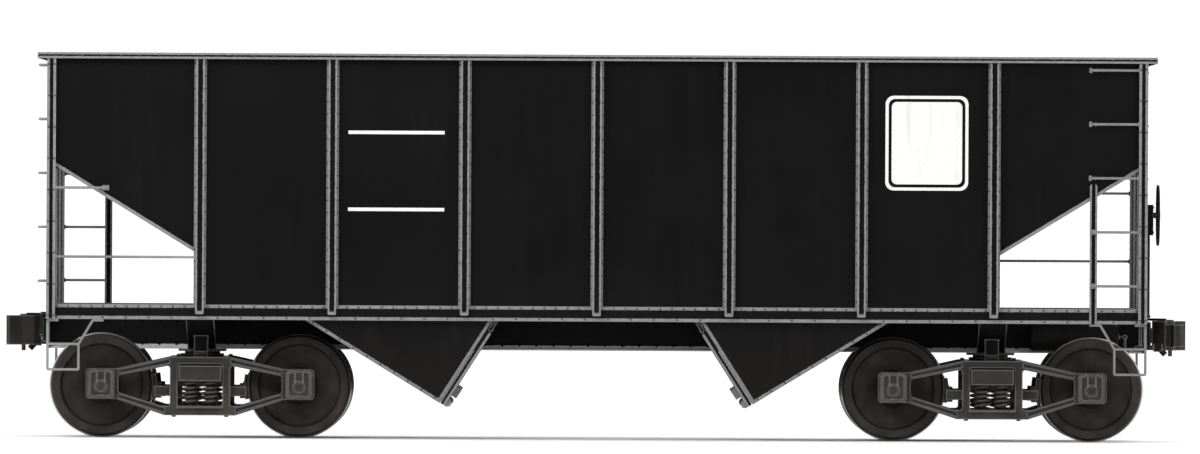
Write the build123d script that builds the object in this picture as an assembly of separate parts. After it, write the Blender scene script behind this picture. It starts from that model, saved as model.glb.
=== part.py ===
from build123d import *
from math import atan2, cos, degrees, radians, sin, sqrt, tan
import os

# Open hopper wagon with two bays, for rail. Sizes are millimetres.
# X runs along the wagon, Y across it and Z up. Heights are above the top of rail, and each
# solid is lifted by FLANGE_DEPTH when it is written, so that the wheel flanges stand on z = 0.

# Clearances
SEAT = 0.3  # between two pieces that are riveted or bolted together
PIN_GAP = 0.3  # round a pin or a shaft
SWING_GAP = 6.0  # between a door and the fixed sheets round it
JOINT = 1.0  # half the gap between two sheets that meet under a post

# Load box
INSIDE_LENGTH = 9144.0
INSIDE_WIDTH = 2743.0
TOP_HEIGHT = 3230.0
SIDE_SHEET = 6.5
END_SHEET = 6.5
POST_PITCH = 1117.6  # from one side post to the next
POSTS = 7  # on each side, between the corner posts
POST_WIDTH = 72.0
POST_DEPTH = 76.0
POST_WALL = 8.0
POST_FLANGE = 16.0
POST_TOE = 12.0  # rounding of a side post's lower corners
CORNER_WIDTH = 76.0
END_POST_Y = 560.0
CHORD_WALL = 12.0
CHORD_DROP = 52.0  # outer leg of the top chord
CHORD_PAST_POST = 14.0  # outer face of the chord past the side posts
CHORD_PAST_END = 80.0  # outer face of the chord past the corner posts

# Sills
SILL_BOTTOM = 977.0
SILL_DEPTH = 127.0
SILL_WALL = 9.5
SILL_FLANGE = 60.0
POST_OVER_SILL = 81.0  # how far a side post laps over the side sill
CENTRE_SILL_TOP = 1028.8
CENTRE_SILL_DEPTH = 304.8
CENTRE_SILL_INSIDE = 163.5  # centre line to the inner face of a web
CENTRE_SILL_WEB = 13.0
CENTRE_SILL_HALF = 239.5  # centre line to the edge of a flange
SILL_COVER = 8.0

# Hoppers
SLOPE_TOP = 2266.0  # underside of the slope sheet at the end sheet
TIP_X = 1325.0  # lowest edge of a slope sheet
TIP_HEIGHT = 282.0
SLOPE_SHEET = 8.0
HIP_HEIGHT = 1250.0  # where the chute sides start to lean in
CHUTE_HALF = 1150.0  # half width over the chute at its foot
RIDGE_TOP = 1650.0
RIDGE_FOOT_X = 905.0
RIDGE_FOOT_HEIGHT = 940.0
HOOD_RISE = 298.0  # of the sloping hood over the centre sill

# Doors
DOOR_PLATE = 10.0
DOOR_RIB = 34.0
DOOR_DROP = 752.0  # axis to the lower edge
HINGE_BELOW_RIDGE = 24.0
HINGE_RADIUS = 22.0
HINGE_PIN = 14.0
HINGE_LUG = 30.0  # width of a fixed lug
BEAM_DROP = 560.0  # axis to the cross beam that joins the two leaves
BEAM_DEPTH = 90.0

# Trucks and wheels
TRUCK_X = 3 * POST_PITCH
WHEEL_BASE = 1676.0
WHEEL_RADIUS = 419.0
FLANGE_DEPTH = 25.4
WHEEL_BACK = 678.0  # centre line to the back of a wheel
WHEEL_WIDTH = 140.0
RIM_DEPTH = 66.0
HUB_RADIUS = 130.0
SEAT_RADIUS = 89.0  # of the axle under a wheel
JOURNAL_RADIUS = 70.0
JOURNAL_Y = 978.0
JOURNAL_END = 1100.0
FRAME_HALF = 55.0  # half thickness of a side frame
CENTRE_PLATE_RADIUS = 150.0
CENTRE_PLATE_BOTTOM = 660.0
CENTRE_PLATE_FOOT = 20.0
SPRING_BOTTOM = 245.0
SPRING_TOP = 455.0

# Couplers
COUPLER_HEIGHT = 876.0
SHANK_INSIDE = 220.0  # the shank's back end, inside the end sill's face
KNUCKLE_REACH = 287.0  # pulling face past the end sill
SHANK_HALF = 65.0
HEAD_HEIGHT = 250.0
STRIKER_REACH = 68.0  # past the end sill
STRIKER_RIM = 34.0
STRIKER_HALF = 270.0
STRIKER_PLATE = 18.0
KNUCKLE_HEIGHT = 190.0

# Bolsters under the body
BOLSTER_PLATE = 12.0
BOLSTER_HALF = 120.0  # half width of the cover plate along its foot
PAD_LENGTH = 140.0  # flat end of the cover plate, where a jack lifts
BEARING_Y = 635.0  # side bearings
BEARING_STANDS = 40.0  # body side bearing above the foot of the centre plate

# Door details
DOOR_LAP = 12.0  # past the chute side
DOOR_EDGE = 12.0  # width of a rib
DOOR_RIB_YS = (520.0, 780.0, 1040.0)
BARREL_YS = (400.0, 640.0, 900.0, 1140.0)
BARREL_HALF = 32.0
LUG_YS = (285.0, 770.0, 1255.0)
LUG_RADIUS = 20.0
LUG_REACH = 75.0
LOCK_WIDTH = 60.0
LOCK_RADIUS = 34.0
LOCK_BACK = 6.0  # the lock's middle stands this far behind the frame
BEAM_WIDTH = 46.0
BEAM_WALL = 10.0

# Side frames, with the centre of the truck at x = 0
FRAME_TOP = 660.0
FRAME_FOOT = 165.0
BOX_TOP = 560.0
BOX_FOOT = 300.0
BOX_HALF = 130.0
KNEE_TOP = 260.0  # where the top chord starts to fall
KNEE_FOOT = 300.0  # where the bottom chord starts to rise
WINDOW_HALF = 190.0
WINDOW_TOP = 600.0
COLUMN = 65.0
ARM_DEPTH = 75.0
ARM_TAPER = 12.0  # an arm is this much shallower at the box
ARM_END = 18.0  # solid metal between the open arm and the box
ARM_RIM = 20.0
ARM_RELIEF = 30.0
SEAT_PLATE = 16.0
GUIDE = 16.0  # the brake beam's guide stands this far inside the frame
GUIDE_REACH = 380.0
GUIDE_HALF = 42.0

# Springs, bolster and brake beams of a truck
SPRING_TURNS = 5
SPRING_RADIUS = 72.0
SPRING_GROOVE = 14.0
SPRING_APART = 12.0  # half the gap between two springs
SPRING_SEAT = 84.0
BOLSTER_FOOT = 455.3
BOLSTER_BELLY = 405.0
BOLSTER_SLOT_Y = 430.0  # middle of a slot through the truck bolster
BOWL_DEPTH = 26.0
BEAM_HEIGHT = 370.0
SHOE_GAP = 8.0
SHOE_DEPTH = 44.0
SHOE_WIDTH = 84.0
TRUSS_FOOT = 640.0

# Steps and irons
IRON_RADIUS = 11.0
IRON_STAND = 62.0
IRON_COLLAR = 9.0  # a collar's rim past its iron
COLLAR_LENGTH = 8.0
PAD_HALF_WIDTH = 30.0
PAD_HALF_HEIGHT = 22.0
PAD_THICK = 8.0
RUNGS = 5
TOP_RUNG_DROP = 109.0  # below the top chord's upper face
LOW_RUNG_RISE = 194.0  # above the side sill
LADDER_X = 4192.0
STILE_OVER_SLOPE = 110.0
STILE_WIDTH = 63.0
STILE_WALL = 10.0
END_LADDER_Y = 1000.0
GRAB_X = 4152.0
GRAB_OVER_SLOPE = 77.4
LONG_ROD_HEIGHT = 1504.0
STEP_BAR = 50.0
STEP_WALL = 20.0
STEP_LENGTH = 262.0
STEP_RAKE = 120.0
STEP_LOW = 551.0
STEP_HIGH = 766.0
LEVER_STAND = 45.0  # the uncoupling rod's line past the end sill
LEVER_INSET = 150.0  # where its handle starts, in from the side sheet
LEVER_HANDLE = 170.0

# Brake gear, all at the +X end but for the pipe
GEAR_RADIUS = 120.0
GEAR_HEIGHT = 865.0
GEAR_Y = 400.0
GEAR_FROM_TRUCK = 700.0  # towards the end of the wagon
CYLINDER_LENGTH = 420.0
RESERVOIR_LENGTH = 760.0
DOME = 40.0  # rounding of a drum's ends
PUSH_ROD_RADIUS = 17.0
PUSH_ROD_LENGTH = 130.0
LEVER_HALF_WIDTH = 32.0  # of the brake lever on the push rod
LEVER_THICK = 20.0
LEVER_PAST_ROD = 150.0
NECK_RADIUS = 42.0
NECK_LENGTH = 90.0
PIPE_RADIUS = 21.0
PIPE_HEIGHT = 775.0
PIPE_FROM_TRUCK = 560.0
PIPE_OFFSET = 75.0  # from its run beside the centre sill out to the angle cock
PIPE_REACH = 90.0  # past the end sill
BRAKE_WHEEL_RADIUS = 260.0
BRAKE_WHEEL_RIM = 12.0
BRAKE_WHEEL_HEIGHT = 1900.0
BRAKE_WHEEL_REACH = 130.0  # past the end posts

# Worked out from the sizes above
HALF_LENGTH = INSIDE_LENGTH / 2
HALF_WIDTH = INSIDE_WIDTH / 2
SKIN = HALF_WIDTH + SIDE_SHEET
POST_OUT = SKIN + POST_DEPTH
END_FACE = HALF_LENGTH + END_SHEET
END_OUT = HALF_LENGTH + CORNER_WIDTH
PULLING_FACE = END_OUT + KNUCKLE_REACH
CHORD_OUT = POST_OUT + CHORD_PAST_POST
CHORD_END = END_OUT + CHORD_PAST_END
CHORD_UNDER = TOP_HEIGHT - CHORD_WALL
SILL_TOP = SILL_BOTTOM + SILL_DEPTH
SILL_OUT = SKIN + SILL_WALL
CENTRE_SILL_BOTTOM = CENTRE_SILL_TOP - CENTRE_SILL_DEPTH
COVER_TOP = CENTRE_SILL_TOP + SILL_COVER
SLOPE = atan2(SLOPE_TOP - TIP_HEIGHT, HALF_LENGTH - TIP_X)
RIDGE = atan2(RIDGE_TOP - RIDGE_FOOT_HEIGHT, RIDGE_FOOT_X)
DOOR_ANGLE = atan2(TIP_X - RIDGE_FOOT_X, RIDGE_FOOT_HEIGHT - TIP_HEIGHT)
CHUTE_LEAN = (HALF_WIDTH - SEAT - CHUTE_HALF) / (HIP_HEIGHT - TIP_HEIGHT)
DOOR_DEPTH = DOOR_PLATE + DOOR_RIB
INNER_SHEET = CENTRE_SILL_HALF + 0.5  # inner face of a chute's inner sheet
INNER_OUT = INNER_SHEET + SLOPE_SHEET
BOX_IN = WHEEL_BASE / 2 - BOX_HALF
HUB_OUT = WHEEL_BACK + WHEEL_WIDTH + 32.0
PATCH_FOOT = COVER_TOP + 3.0  # foot of the sheets that end over the centre sill
CHUTE_TOP = COVER_TOP + 2.0  # top edge of the chutes' inner sheets
SILL_INSIDE = SILL_OUT - SILL_FLANGE
LOW_RUNG = SILL_TOP + LOW_RUNG_RISE
RUNG_PITCH = (TOP_HEIGHT - TOP_RUNG_DROP - LOW_RUNG) / (RUNGS - 1)
RUNG_HEIGHTS = [LOW_RUNG + i * RUNG_PITCH for i in range(RUNGS)]


# Shapes
def block(x0, x1, y0, y1, z0, z1):
    """A block between two opposite corners."""
    return Pos((x0 + x1) / 2, (y0 + y1) / 2, (z0 + z1) / 2) * Box(x1 - x0, y1 - y0, z1 - z0)


def outline(points, radius=0.0):
    """A flat face inside a closed line, with its corners rounded if a radius is given."""
    line = FilletPolyline(*points, radius=radius, close=True) if radius else Polyline(*points, close=True)
    return make_face(line)


def along_y(points, y0, y1, radius=0.0):
    """Points (x, height) made solid from y0 to y1."""
    return Pos(0, y0, 0) * extrude(Plane.XZ * outline(points, radius), amount=y1 - y0, dir=(0, 1, 0))


def along_x(points, x0, x1, radius=0.0):
    """Points (y, height) made solid from x0 to x1."""
    return Pos(x0, 0, 0) * extrude(Plane.YZ * outline(points, radius), amount=x1 - x0, dir=(1, 0, 0))


def along_z(points, z0, z1, radius=0.0):
    """Points (x, y) made solid from height z0 to z1."""
    return Pos(0, 0, z0) * extrude(outline(points, radius), amount=z1 - z0, dir=(0, 0, 1))


def rod(start, end, radius):
    """A straight round bar."""
    axis = Vector(*end) - Vector(*start)
    return extrude(Plane(origin=start, z_dir=axis) * Circle(radius), amount=axis.length, dir=axis)


def bent_rod(points, radius):
    """A round bar forged square at each corner."""
    first = Vector(*points[1]) - Vector(*points[0])
    section = Plane(origin=points[0], z_dir=first) * Circle(radius)
    return sweep(section, path=Polyline(*points), transition=Transition.RIGHT)


def bent_strip(points, y0, y1, thickness, bend):
    """A flat bar bent in the plane of X and height, from y0 to y1 across."""
    corners = [(x, (y0 + y1) / 2, z) for x, z in points]
    first = Vector(*corners[1]) - Vector(*corners[0])
    start = Plane(origin=corners[0], x_dir=(0, 1, 0), z_dir=first)
    return sweep(start * Rectangle(y1 - y0, thickness), path=FilletPolyline(*corners, radius=bend))


def both_sides(piece):
    return [piece, mirror(piece, about=Plane.XZ)]


def both_ends(piece):
    return [piece, mirror(piece, about=Plane.YZ)]


def four_corners(piece):
    return [copy for end in both_ends(piece) for copy in both_sides(end)]


def turned(piece):
    """The piece and its twin at the opposite corner of the wagon."""
    return [piece, Rot(0, 0, 180) * piece]


def write(name, *pieces):
    """One node: every solid of the pieces, lifted on to its wheels."""
    solids = [Pos(0, 0, FLANGE_DEPTH) * solid for piece in pieces for solid in piece.solids()]
    shape = solids[0] if len(solids) == 1 else Compound(solids)
    shape.label = name
    export_step(shape, f"parts/{name}.step")


# Lines of the hopper
def slope_z(x, lift=0.0):
    """Height of the slope sheet's underside at x, or of a plane lifted square off it."""
    return TIP_HEIGHT + (x - TIP_X) * tan(SLOPE) + lift / cos(SLOPE)


def slope_x(z):
    """Where the slope sheet's underside is at height z."""
    return TIP_X + (z - TIP_HEIGHT) / tan(SLOPE)


def ridge_z(x, lift=0.0):
    """Height of the ridge sheet's upper face at x, or of a plane lifted square off it."""
    return RIDGE_TOP - x * tan(RIDGE) + lift / cos(RIDGE)


def ridge_x(z, lift=0.0):
    return (RIDGE_TOP + lift / cos(RIDGE) - z) / tan(RIDGE)


def chute_y(z, inset=0.0):
    """Outer face of the leaning chute side at height z, or a plane set in square from it."""
    return CHUTE_HALF + (z - TIP_HEIGHT) * CHUTE_LEAN - inset * sqrt(1 + CHUTE_LEAN**2)


def door_point(drop, inward):
    """A point of the door plane: drop down the plane from the ridge's foot, inward to the load."""
    x = RIDGE_FOOT_X + drop * sin(DOOR_ANGLE) + inward * cos(DOOR_ANGLE)
    z = RIDGE_FOOT_HEIGHT - drop * cos(DOOR_ANGLE) + inward * sin(DOOR_ANGLE)
    return x, z


HINGE_X, HINGE_Z = door_point(HINGE_BELOW_RIDGE, -SWING_GAP - DOOR_DEPTH / 2)


# Load box
def post_xs():
    return [(i - POSTS // 2) * POST_PITCH for i in range(POSTS)]


def side_sheets():
    """Panels of one side, each between two posts. The end ones are cut along the slope sheet."""
    top = CHORD_UNDER - SEAT
    foot = SILL_BOTTOM + SILL_WALL + 3.0
    xs = post_xs()
    panels = [block(a + JOINT, b - JOINT, HALF_WIDTH, SKIN, foot, top) for a, b in zip(xs, xs[1:])]
    x0 = xs[-1] + JOINT
    corners = [(x0, slope_z(x0)), (END_OUT, slope_z(END_OUT)), (END_OUT, top), (x0, top)]
    return panels + both_ends(along_y(corners, HALF_WIDTH, SKIN))


def channel(half, depth, wall):
    """Section of a channel, across by outward, with its open side at v = 0."""
    right = [(half, 0), (half, depth)]
    hollow = [(half - wall, depth - wall), (half - wall, 0)]
    return right + [(-u, v) for u, v in reversed(right)] + [(-u, v) for u, v in reversed(hollow)] + hollow


def hat(half, depth, wall, flange):
    """The same channel with a flange along each edge, to be riveted down."""
    right = [(half + flange, 0), (half + flange, wall), (half, wall), (half, depth)]
    hollow = [(half - wall, depth - wall), (half - wall, 0)]
    return right + [(-u, v) for u, v in reversed(right)] + [(-u, v) for u, v in reversed(hollow)] + hollow


def side_post(x):
    """A pressed hat above the side sill. Its foot is a channel with rounded toes, lapped over the sill."""
    half = POST_WIDTH / 2
    knee = SILL_TOP + SEAT
    upper = [(x + u, SKIN + v) for u, v in hat(half, POST_DEPTH, POST_WALL, POST_FLANGE)]
    lower = [(x + u, SKIN + v) for u, v in channel(half, POST_DEPTH, POST_WALL)]
    toe = SILL_TOP - POST_OVER_SILL
    shadow = [(x - half, toe), (x + half, toe), (x + half, knee + half), (x - half, knee + half)]
    foot = along_z(lower, toe, knee) & along_y(shadow, SILL_OUT + SEAT, POST_OUT, POST_TOE)
    return along_z(upper, knee, CHORD_UNDER - SEAT) + foot


def corner_post():
    """A channel, open to the wagon, that laps over the side sill."""
    middle = HALF_LENGTH + CORNER_WIDTH / 2
    section = [(middle + u, SKIN + v) for u, v in channel(CORNER_WIDTH / 2, POST_DEPTH, POST_WALL)]
    post = along_z(section, SILL_BOTTOM, CHORD_UNDER - SEAT)
    return post - block(HALF_LENGTH - 1, END_OUT + 1, HALF_WIDTH, SILL_OUT + SEAT, 0, SILL_TOP + SEAT)


def end_post():
    depth = END_OUT - END_FACE
    across = hat(POST_WIDTH / 2, depth, POST_WALL, POST_FLANGE)
    section = [(END_FACE + v, END_POST_Y + u) for u, v in across]
    return along_z(section, SILL_TOP + SEAT, CHORD_UNDER - SEAT)


def end_sheet():
    y = HALF_WIDTH - SEAT
    return block(HALF_LENGTH, END_FACE, -y, y, SLOPE_TOP - 20.0, CHORD_UNDER - SEAT)


def chord_section(inner, outer):
    """The top chord: a flat leg over the sheet and posts, and a leg that drops outside them."""
    inside = outer - CHORD_WALL
    foot = TOP_HEIGHT - CHORD_DROP
    flat = [(inner, CHORD_UNDER), (inner, TOP_HEIGHT), (outer, TOP_HEIGHT)]
    return flat + [(outer, foot), (inside, foot), (inside, CHORD_UNDER)]


def side_chord():
    """Cut at 45 degrees at its ends, where the end chord meets it."""
    run = CHORD_OUT - HALF_WIDTH
    plan = [(-CHORD_END, CHORD_OUT), (CHORD_END, CHORD_OUT), (CHORD_END - run, HALF_WIDTH)]
    plan.append((run - CHORD_END, HALF_WIDTH))
    whole = along_x(chord_section(HALF_WIDTH, CHORD_OUT), -CHORD_END, CHORD_END)
    return whole & along_z(plan, 0, TOP_HEIGHT + 1)


def end_chord():
    gap = 2 * SEAT
    knee = CHORD_END - (CHORD_OUT - HALF_WIDTH)
    half = [(HALF_LENGTH, HALF_WIDTH - gap), (knee, HALF_WIDTH - gap), (CHORD_END, CHORD_OUT - gap)]
    plan = half + [(x, -y) for x, y in reversed(half)]
    whole = along_y(chord_section(HALF_LENGTH, CHORD_END), -CHORD_OUT, CHORD_OUT)
    return whole & along_z(plan, 0, TOP_HEIGHT + 1)


# Sills
def side_sill():
    """An angle: its tall leg shows, and its flange turns in under the wagon."""
    leg = block(-END_OUT, END_OUT, SKIN, SILL_OUT, SILL_BOTTOM, SILL_TOP)
    reach = HALF_LENGTH - SEAT
    flange = block(-reach, reach, SILL_INSIDE, SKIN, SILL_BOTTOM, SILL_BOTTOM + SILL_WALL)
    return leg + flange


def end_sill():
    """A channel across the end, notched over the centre sill."""
    inner = HALF_LENGTH + SEAT
    section = [(inner, SILL_TOP), (END_OUT, SILL_TOP), (END_OUT, SILL_BOTTOM), (inner, SILL_BOTTOM)]
    section += [(inner, SILL_BOTTOM + SILL_WALL), (END_OUT - SILL_WALL, SILL_BOTTOM + SILL_WALL)]
    section += [(END_OUT - SILL_WALL, SILL_TOP - SILL_WALL), (inner, SILL_TOP - SILL_WALL)]
    whole = along_y(section, SEAT - SKIN, SKIN - SEAT)
    notch = CENTRE_SILL_HALF + SEAT
    return whole - block(inner - 1, END_OUT + 1, -notch, notch, 0, COVER_TOP + SEAT)


def centre_sill():
    """Two rolled channels, backs inward, under one cover plate."""
    web = CENTRE_SILL_INSIDE + CENTRE_SILL_WEB
    edge = CENTRE_SILL_HALF
    top = CENTRE_SILL_TOP
    foot = CENTRE_SILL_BOTTOM
    lip = CENTRE_SILL_WEB
    half = [(edge, COVER_TOP), (edge, top - lip), (web, top - lip), (web, foot + lip), (edge, foot + lip)]
    half += [(edge, foot), (CENTRE_SILL_INSIDE, foot), (CENTRE_SILL_INSIDE, top)]
    section = half + [(-y, z) for y, z in reversed(half)]
    reach = END_OUT - SILL_WALL
    return along_x(section, -reach, reach)


def centre_plate():
    """The round pivot under the centre sill, on a riveted foot."""
    low = CENTRE_SILL_BOTTOM
    reach = CENTRE_PLATE_RADIUS + 50
    foot = block(-reach, reach, -CENTRE_SILL_HALF, CENTRE_SILL_HALF, low - CENTRE_PLATE_FOOT, low)
    height = low - CENTRE_PLATE_BOTTOM - CENTRE_PLATE_FOOT / 2
    disc = Pos(0, 0, CENTRE_PLATE_BOTTOM) * extrude(Circle(CENTRE_PLATE_RADIUS), amount=height)
    return Pos(TRUCK_X, 0, 0) * (foot + disc)


def bolster():
    """A web from sill to slope sheet, with a cover plate bent along its foot, on one side of the wagon."""
    inner = CENTRE_SILL_HALF + SEAT
    outer = SILL_INSIDE - SEAT
    knee = outer - PAD_LENGTH
    low = CENTRE_SILL_BOTTOM
    plate = BOLSTER_PLATE
    foot = [(inner, low), (knee, SILL_BOTTOM), (outer, SILL_BOTTOM), (outer, SILL_BOTTOM + plate)]
    foot += [(knee, SILL_BOTTOM + plate), (inner, low + plate)]
    cover = along_x(foot, TRUCK_X - BOLSTER_HALF, TRUCK_X + BOLSTER_HALF)
    high = slope_z(TRUCK_X + plate) + 1
    clear = SILL_BOTTOM + SILL_WALL + 3.0
    sheet = [(inner, low + plate / 2), (knee, SILL_BOTTOM + plate / 2), (outer, SILL_BOTTOM + plate / 2)]
    sheet += [(outer, clear), (HALF_WIDTH - SEAT, clear), (HALF_WIDTH - SEAT, high), (inner, high)]
    web = along_x(sheet, TRUCK_X - plate / 2, TRUCK_X + plate / 2) & under_slope()
    bearing_foot = CENTRE_PLATE_BOTTOM + BEARING_STANDS
    lean = (SILL_BOTTOM - low) / (knee - inner)
    bearing = [(y, bearing_foot) for y in (BEARING_Y - 40, BEARING_Y + 40)]
    bearing += [(y, low + (y - inner) * lean + plate / 2) for y in (BEARING_Y + 40, BEARING_Y - 40)]
    return cover + web + along_x(bearing, TRUCK_X - 60, TRUCK_X + 60)


def under_slope():
    """The space below one slope sheet."""
    far = HALF_LENGTH
    near = TIP_X
    points = [(near, 0), (far, 0), (far, slope_z(far, -SEAT)), (near, slope_z(near, -SEAT))]
    return along_y(points, -HALF_WIDTH, HALF_WIDTH)


def bolster_saddle():
    """The part of the web that stands on the centre sill, up to the slope sheet."""
    plate = BOLSTER_PLATE
    edge = CENTRE_SILL_HALF
    web = block(TRUCK_X - plate / 2, TRUCK_X + plate / 2, -edge, edge, COVER_TOP + SEAT, SLOPE_TOP)
    foot = block(TRUCK_X - 60, TRUCK_X + 60, -edge, edge, COVER_TOP + SEAT, COVER_TOP + SEAT + plate)
    return (web & under_slope()) + foot


def crossbearer():
    """A web and foot plate under the ridge, on one side of the wagon."""
    inner = CENTRE_SILL_HALF + SEAT
    outer = SILL_INSIDE - SEAT
    half = BOLSTER_PLATE / 2
    clear = SILL_BOTTOM + SILL_WALL + 3.0
    top = ridge_z(half, -SLOPE_SHEET - SEAT)
    sheet = [(inner, SILL_BOTTOM), (outer, SILL_BOTTOM), (outer, clear), (HALF_WIDTH - SEAT, clear)]
    sheet += [(HALF_WIDTH - SEAT, top), (inner, top)]
    foot = block(-90, 90, inner, outer, SILL_BOTTOM, SILL_BOTTOM + BOLSTER_PLATE)
    return along_x(sheet, -half, half) + foot


# Hoppers
def slope_sheets():
    """The floor of one end of the load box: one wide sheet, a patch over the sill, two tongues."""
    hip = slope_x(HIP_HEIGHT)
    patch = slope_x(PATCH_FOOT)
    lift = SLOPE_SHEET
    back = lift * sin(SLOPE)
    rise = lift * cos(SLOPE)
    wide_y = HALF_WIDTH - SEAT

    def strip(x0, x1):
        low = [(x0, slope_z(x0)), (x1, slope_z(x1))]
        return low + [(x - back, z + rise) for x, z in reversed(low)]

    end = HALF_LENGTH - SEAT
    wide = strip(hip, end)
    wide[2] = (end, slope_z(end, lift))
    middle = along_y(strip(patch, hip - SEAT), SEAT - INNER_OUT, INNER_OUT - SEAT)
    tongue = strip(TIP_X, hip - SEAT)
    up = lift / cos(SLOPE) / (cos(DOOR_ANGLE) + sin(DOOR_ANGLE) * tan(SLOPE))
    tongue[3] = (TIP_X - up * sin(DOOR_ANGLE), TIP_HEIGHT + up * cos(DOOR_ANGLE))
    inside = [(INNER_OUT + SEAT, 0), (chute_y(0, lift + SEAT), 0)]
    inside += [(chute_y(2 * HIP_HEIGHT, lift + SEAT), 2 * HIP_HEIGHT), (INNER_OUT + SEAT, 2 * HIP_HEIGHT)]
    trimmed = along_y(tongue, 0, HALF_WIDTH) & along_x(inside, 0, HALF_LENGTH)
    return [along_y(wide, -wide_y, wide_y), middle] + both_sides(trimmed)


def chute_outline(top):
    """The side of a chute, from its tip up to a level top, between slope, ridge and door."""
    points = [(TIP_X, TIP_HEIGHT), (slope_x(top), top), (ridge_x(top, SEAT), top)]
    x = RIDGE_FOOT_X
    return points + [(x, ridge_z(x, SEAT))]


def chute_outer():
    """The leaning outer side of a chute."""
    top = HIP_HEIGHT
    slab = [(chute_y(0), 0), (chute_y(top), top), (chute_y(top, SLOPE_SHEET), top)]
    slab.append((chute_y(0, SLOPE_SHEET), 0))
    return along_y(chute_outline(top), 0, HALF_WIDTH) & along_x(slab, 0, HALF_LENGTH)


def chute_inner():
    """The upright inner side of a chute, beside the centre sill."""
    return along_y(chute_outline(CHUTE_TOP), INNER_SHEET, INNER_OUT)


def ridge_sheets():
    """One slope of the ridge between the bays: a wide upper sheet and a foot on each side."""
    lift = SLOPE_SHEET
    back = lift * sin(RIDGE)
    drop = lift * cos(RIDGE)
    split = ridge_x(PATCH_FOOT + lift, 0)

    def strip(x0, x1):
        high = [(x0, ridge_z(x0)), (x1, ridge_z(x1))]
        return high + [(x - back, z - drop) for x, z in reversed(high)]

    upper = strip(SEAT, split)
    upper[3] = (SEAT, ridge_z(SEAT, -lift))
    wide = HALF_WIDTH - SEAT
    foot = along_y(strip(split + JOINT, RIDGE_FOOT_X), INNER_OUT + SEAT, SILL_INSIDE - SEAT)
    return [along_y(upper, -wide, wide)] + both_sides(foot)


def hood():
    """One leaf of the roof over the centre sill, between the ridge and the slope sheet."""
    lift = SLOPE_SHEET
    foot = INNER_OUT
    base = CHUTE_TOP + SEAT
    rise = atan2(HOOD_RISE, foot)
    thick = lift / cos(rise)
    leaf = [(foot, base), (SEAT, base + (foot - SEAT) * tan(rise))]
    leaf += [(SEAT, base + (foot - SEAT) * tan(rise) - thick), (foot - thick / tan(rise), base)]
    far = HALF_LENGTH
    bay = [(0, ridge_z(0, SEAT)), (RIDGE_FOOT_X, ridge_z(RIDGE_FOOT_X, SEAT))]
    bay += [(TIP_X, slope_z(TIP_X, lift + SEAT)), (far, slope_z(far, lift + SEAT)), (0, TOP_HEIGHT)]
    return along_x(leaf, 0, HALF_LENGTH) & along_y(bay, 0, HALF_WIDTH)


# Doors
def leaf_outline(drop0, drop1, margin):
    """One leaf, across and down from the hinge axis. Its outer edge leans with the chute."""
    inner = CENTRE_SILL_HALF + SWING_GAP + margin
    points = [(inner, -drop0 - margin), (inner, -drop1 + margin)]
    for drop in (drop1 - margin, drop0 + margin):
        height = HINGE_Z - drop * cos(DOOR_ANGLE)
        points.append((chute_y(height) + DOOR_LAP - margin, -drop))
    return points


def door_leaf():
    """A plate with a ribbed frame on its outer face, and the barrels of its hinge."""
    inside = DOOR_DEPTH / 2
    face = inside - DOOR_PLATE
    top = HINGE_RADIUS + 8.0
    edge = leaf_outline(top, DOOR_DROP, 0)
    well = leaf_outline(top, DOOR_DROP, DOOR_EDGE)
    leaf = along_x(edge, -inside, inside) - along_x(well, -inside - 1, face)
    for y in DOOR_RIB_YS:
        leaf += block(-inside, face, y - DOOR_EDGE / 2, y + DOOR_EDGE / 2, -DOOR_DROP + 2, -top - 2)
    for y in BARREL_YS:
        barrel = rod((0, y - BARREL_HALF, 0), (0, y + BARREL_HALF, 0), HINGE_RADIUS)
        barrel += block(-DOOR_EDGE, DOOR_EDGE, y - BARREL_HALF, y + BARREL_HALF, -top - 2, 0)
        leaf += barrel
    bore = rod((0, 0, 0), (0, HALF_WIDTH, 0), HINGE_PIN + PIN_GAP)
    return leaf - bore + door_lock(inside)


def door_lock(inside):
    """The rounded lock casting on the lower outer corner of a leaf."""
    y1 = CHUTE_HALF
    y0 = y1 - LOCK_WIDTH
    x = -inside - LOCK_BACK
    z = LOCK_RADIUS - DOOR_DROP
    heel = rod((x, y0, z), (x, y1, z), LOCK_RADIUS)
    return heel + block(x, 0, y0, y1, -DOOR_DROP, z + LOCK_RADIUS)


def door_pair():
    """Two leaves and the beam that joins them under the centre sill, hung at the +X bay."""
    back = DOOR_DEPTH / 2
    reach = DOOR_RIB_YS[-1]
    section = [(-back, -BEAM_DROP), (-back - BEAM_WIDTH, -BEAM_DROP)]
    section += [(-back - BEAM_WIDTH, -BEAM_DROP - BEAM_DEPTH), (-back, -BEAM_DROP - BEAM_DEPTH)]
    beam = along_y(section, -reach, reach)
    far = -back - BEAM_WIDTH - 1
    web = -back - BEAM_WALL
    high = -BEAM_DROP - BEAM_WALL
    low = BEAM_WALL - BEAM_DROP - BEAM_DEPTH
    hollow = [(web, high), (far, high), (far, low), (web, low)]
    beam -= along_y(hollow, -reach + BEAM_WALL, reach - BEAM_WALL)
    leaves = both_sides(door_leaf())
    pair = beam + leaves[0] + leaves[1]
    return Pos(HINGE_X, 0, HINGE_Z) * Rot(0, -degrees(DOOR_ANGLE), 0) * pair


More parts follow.
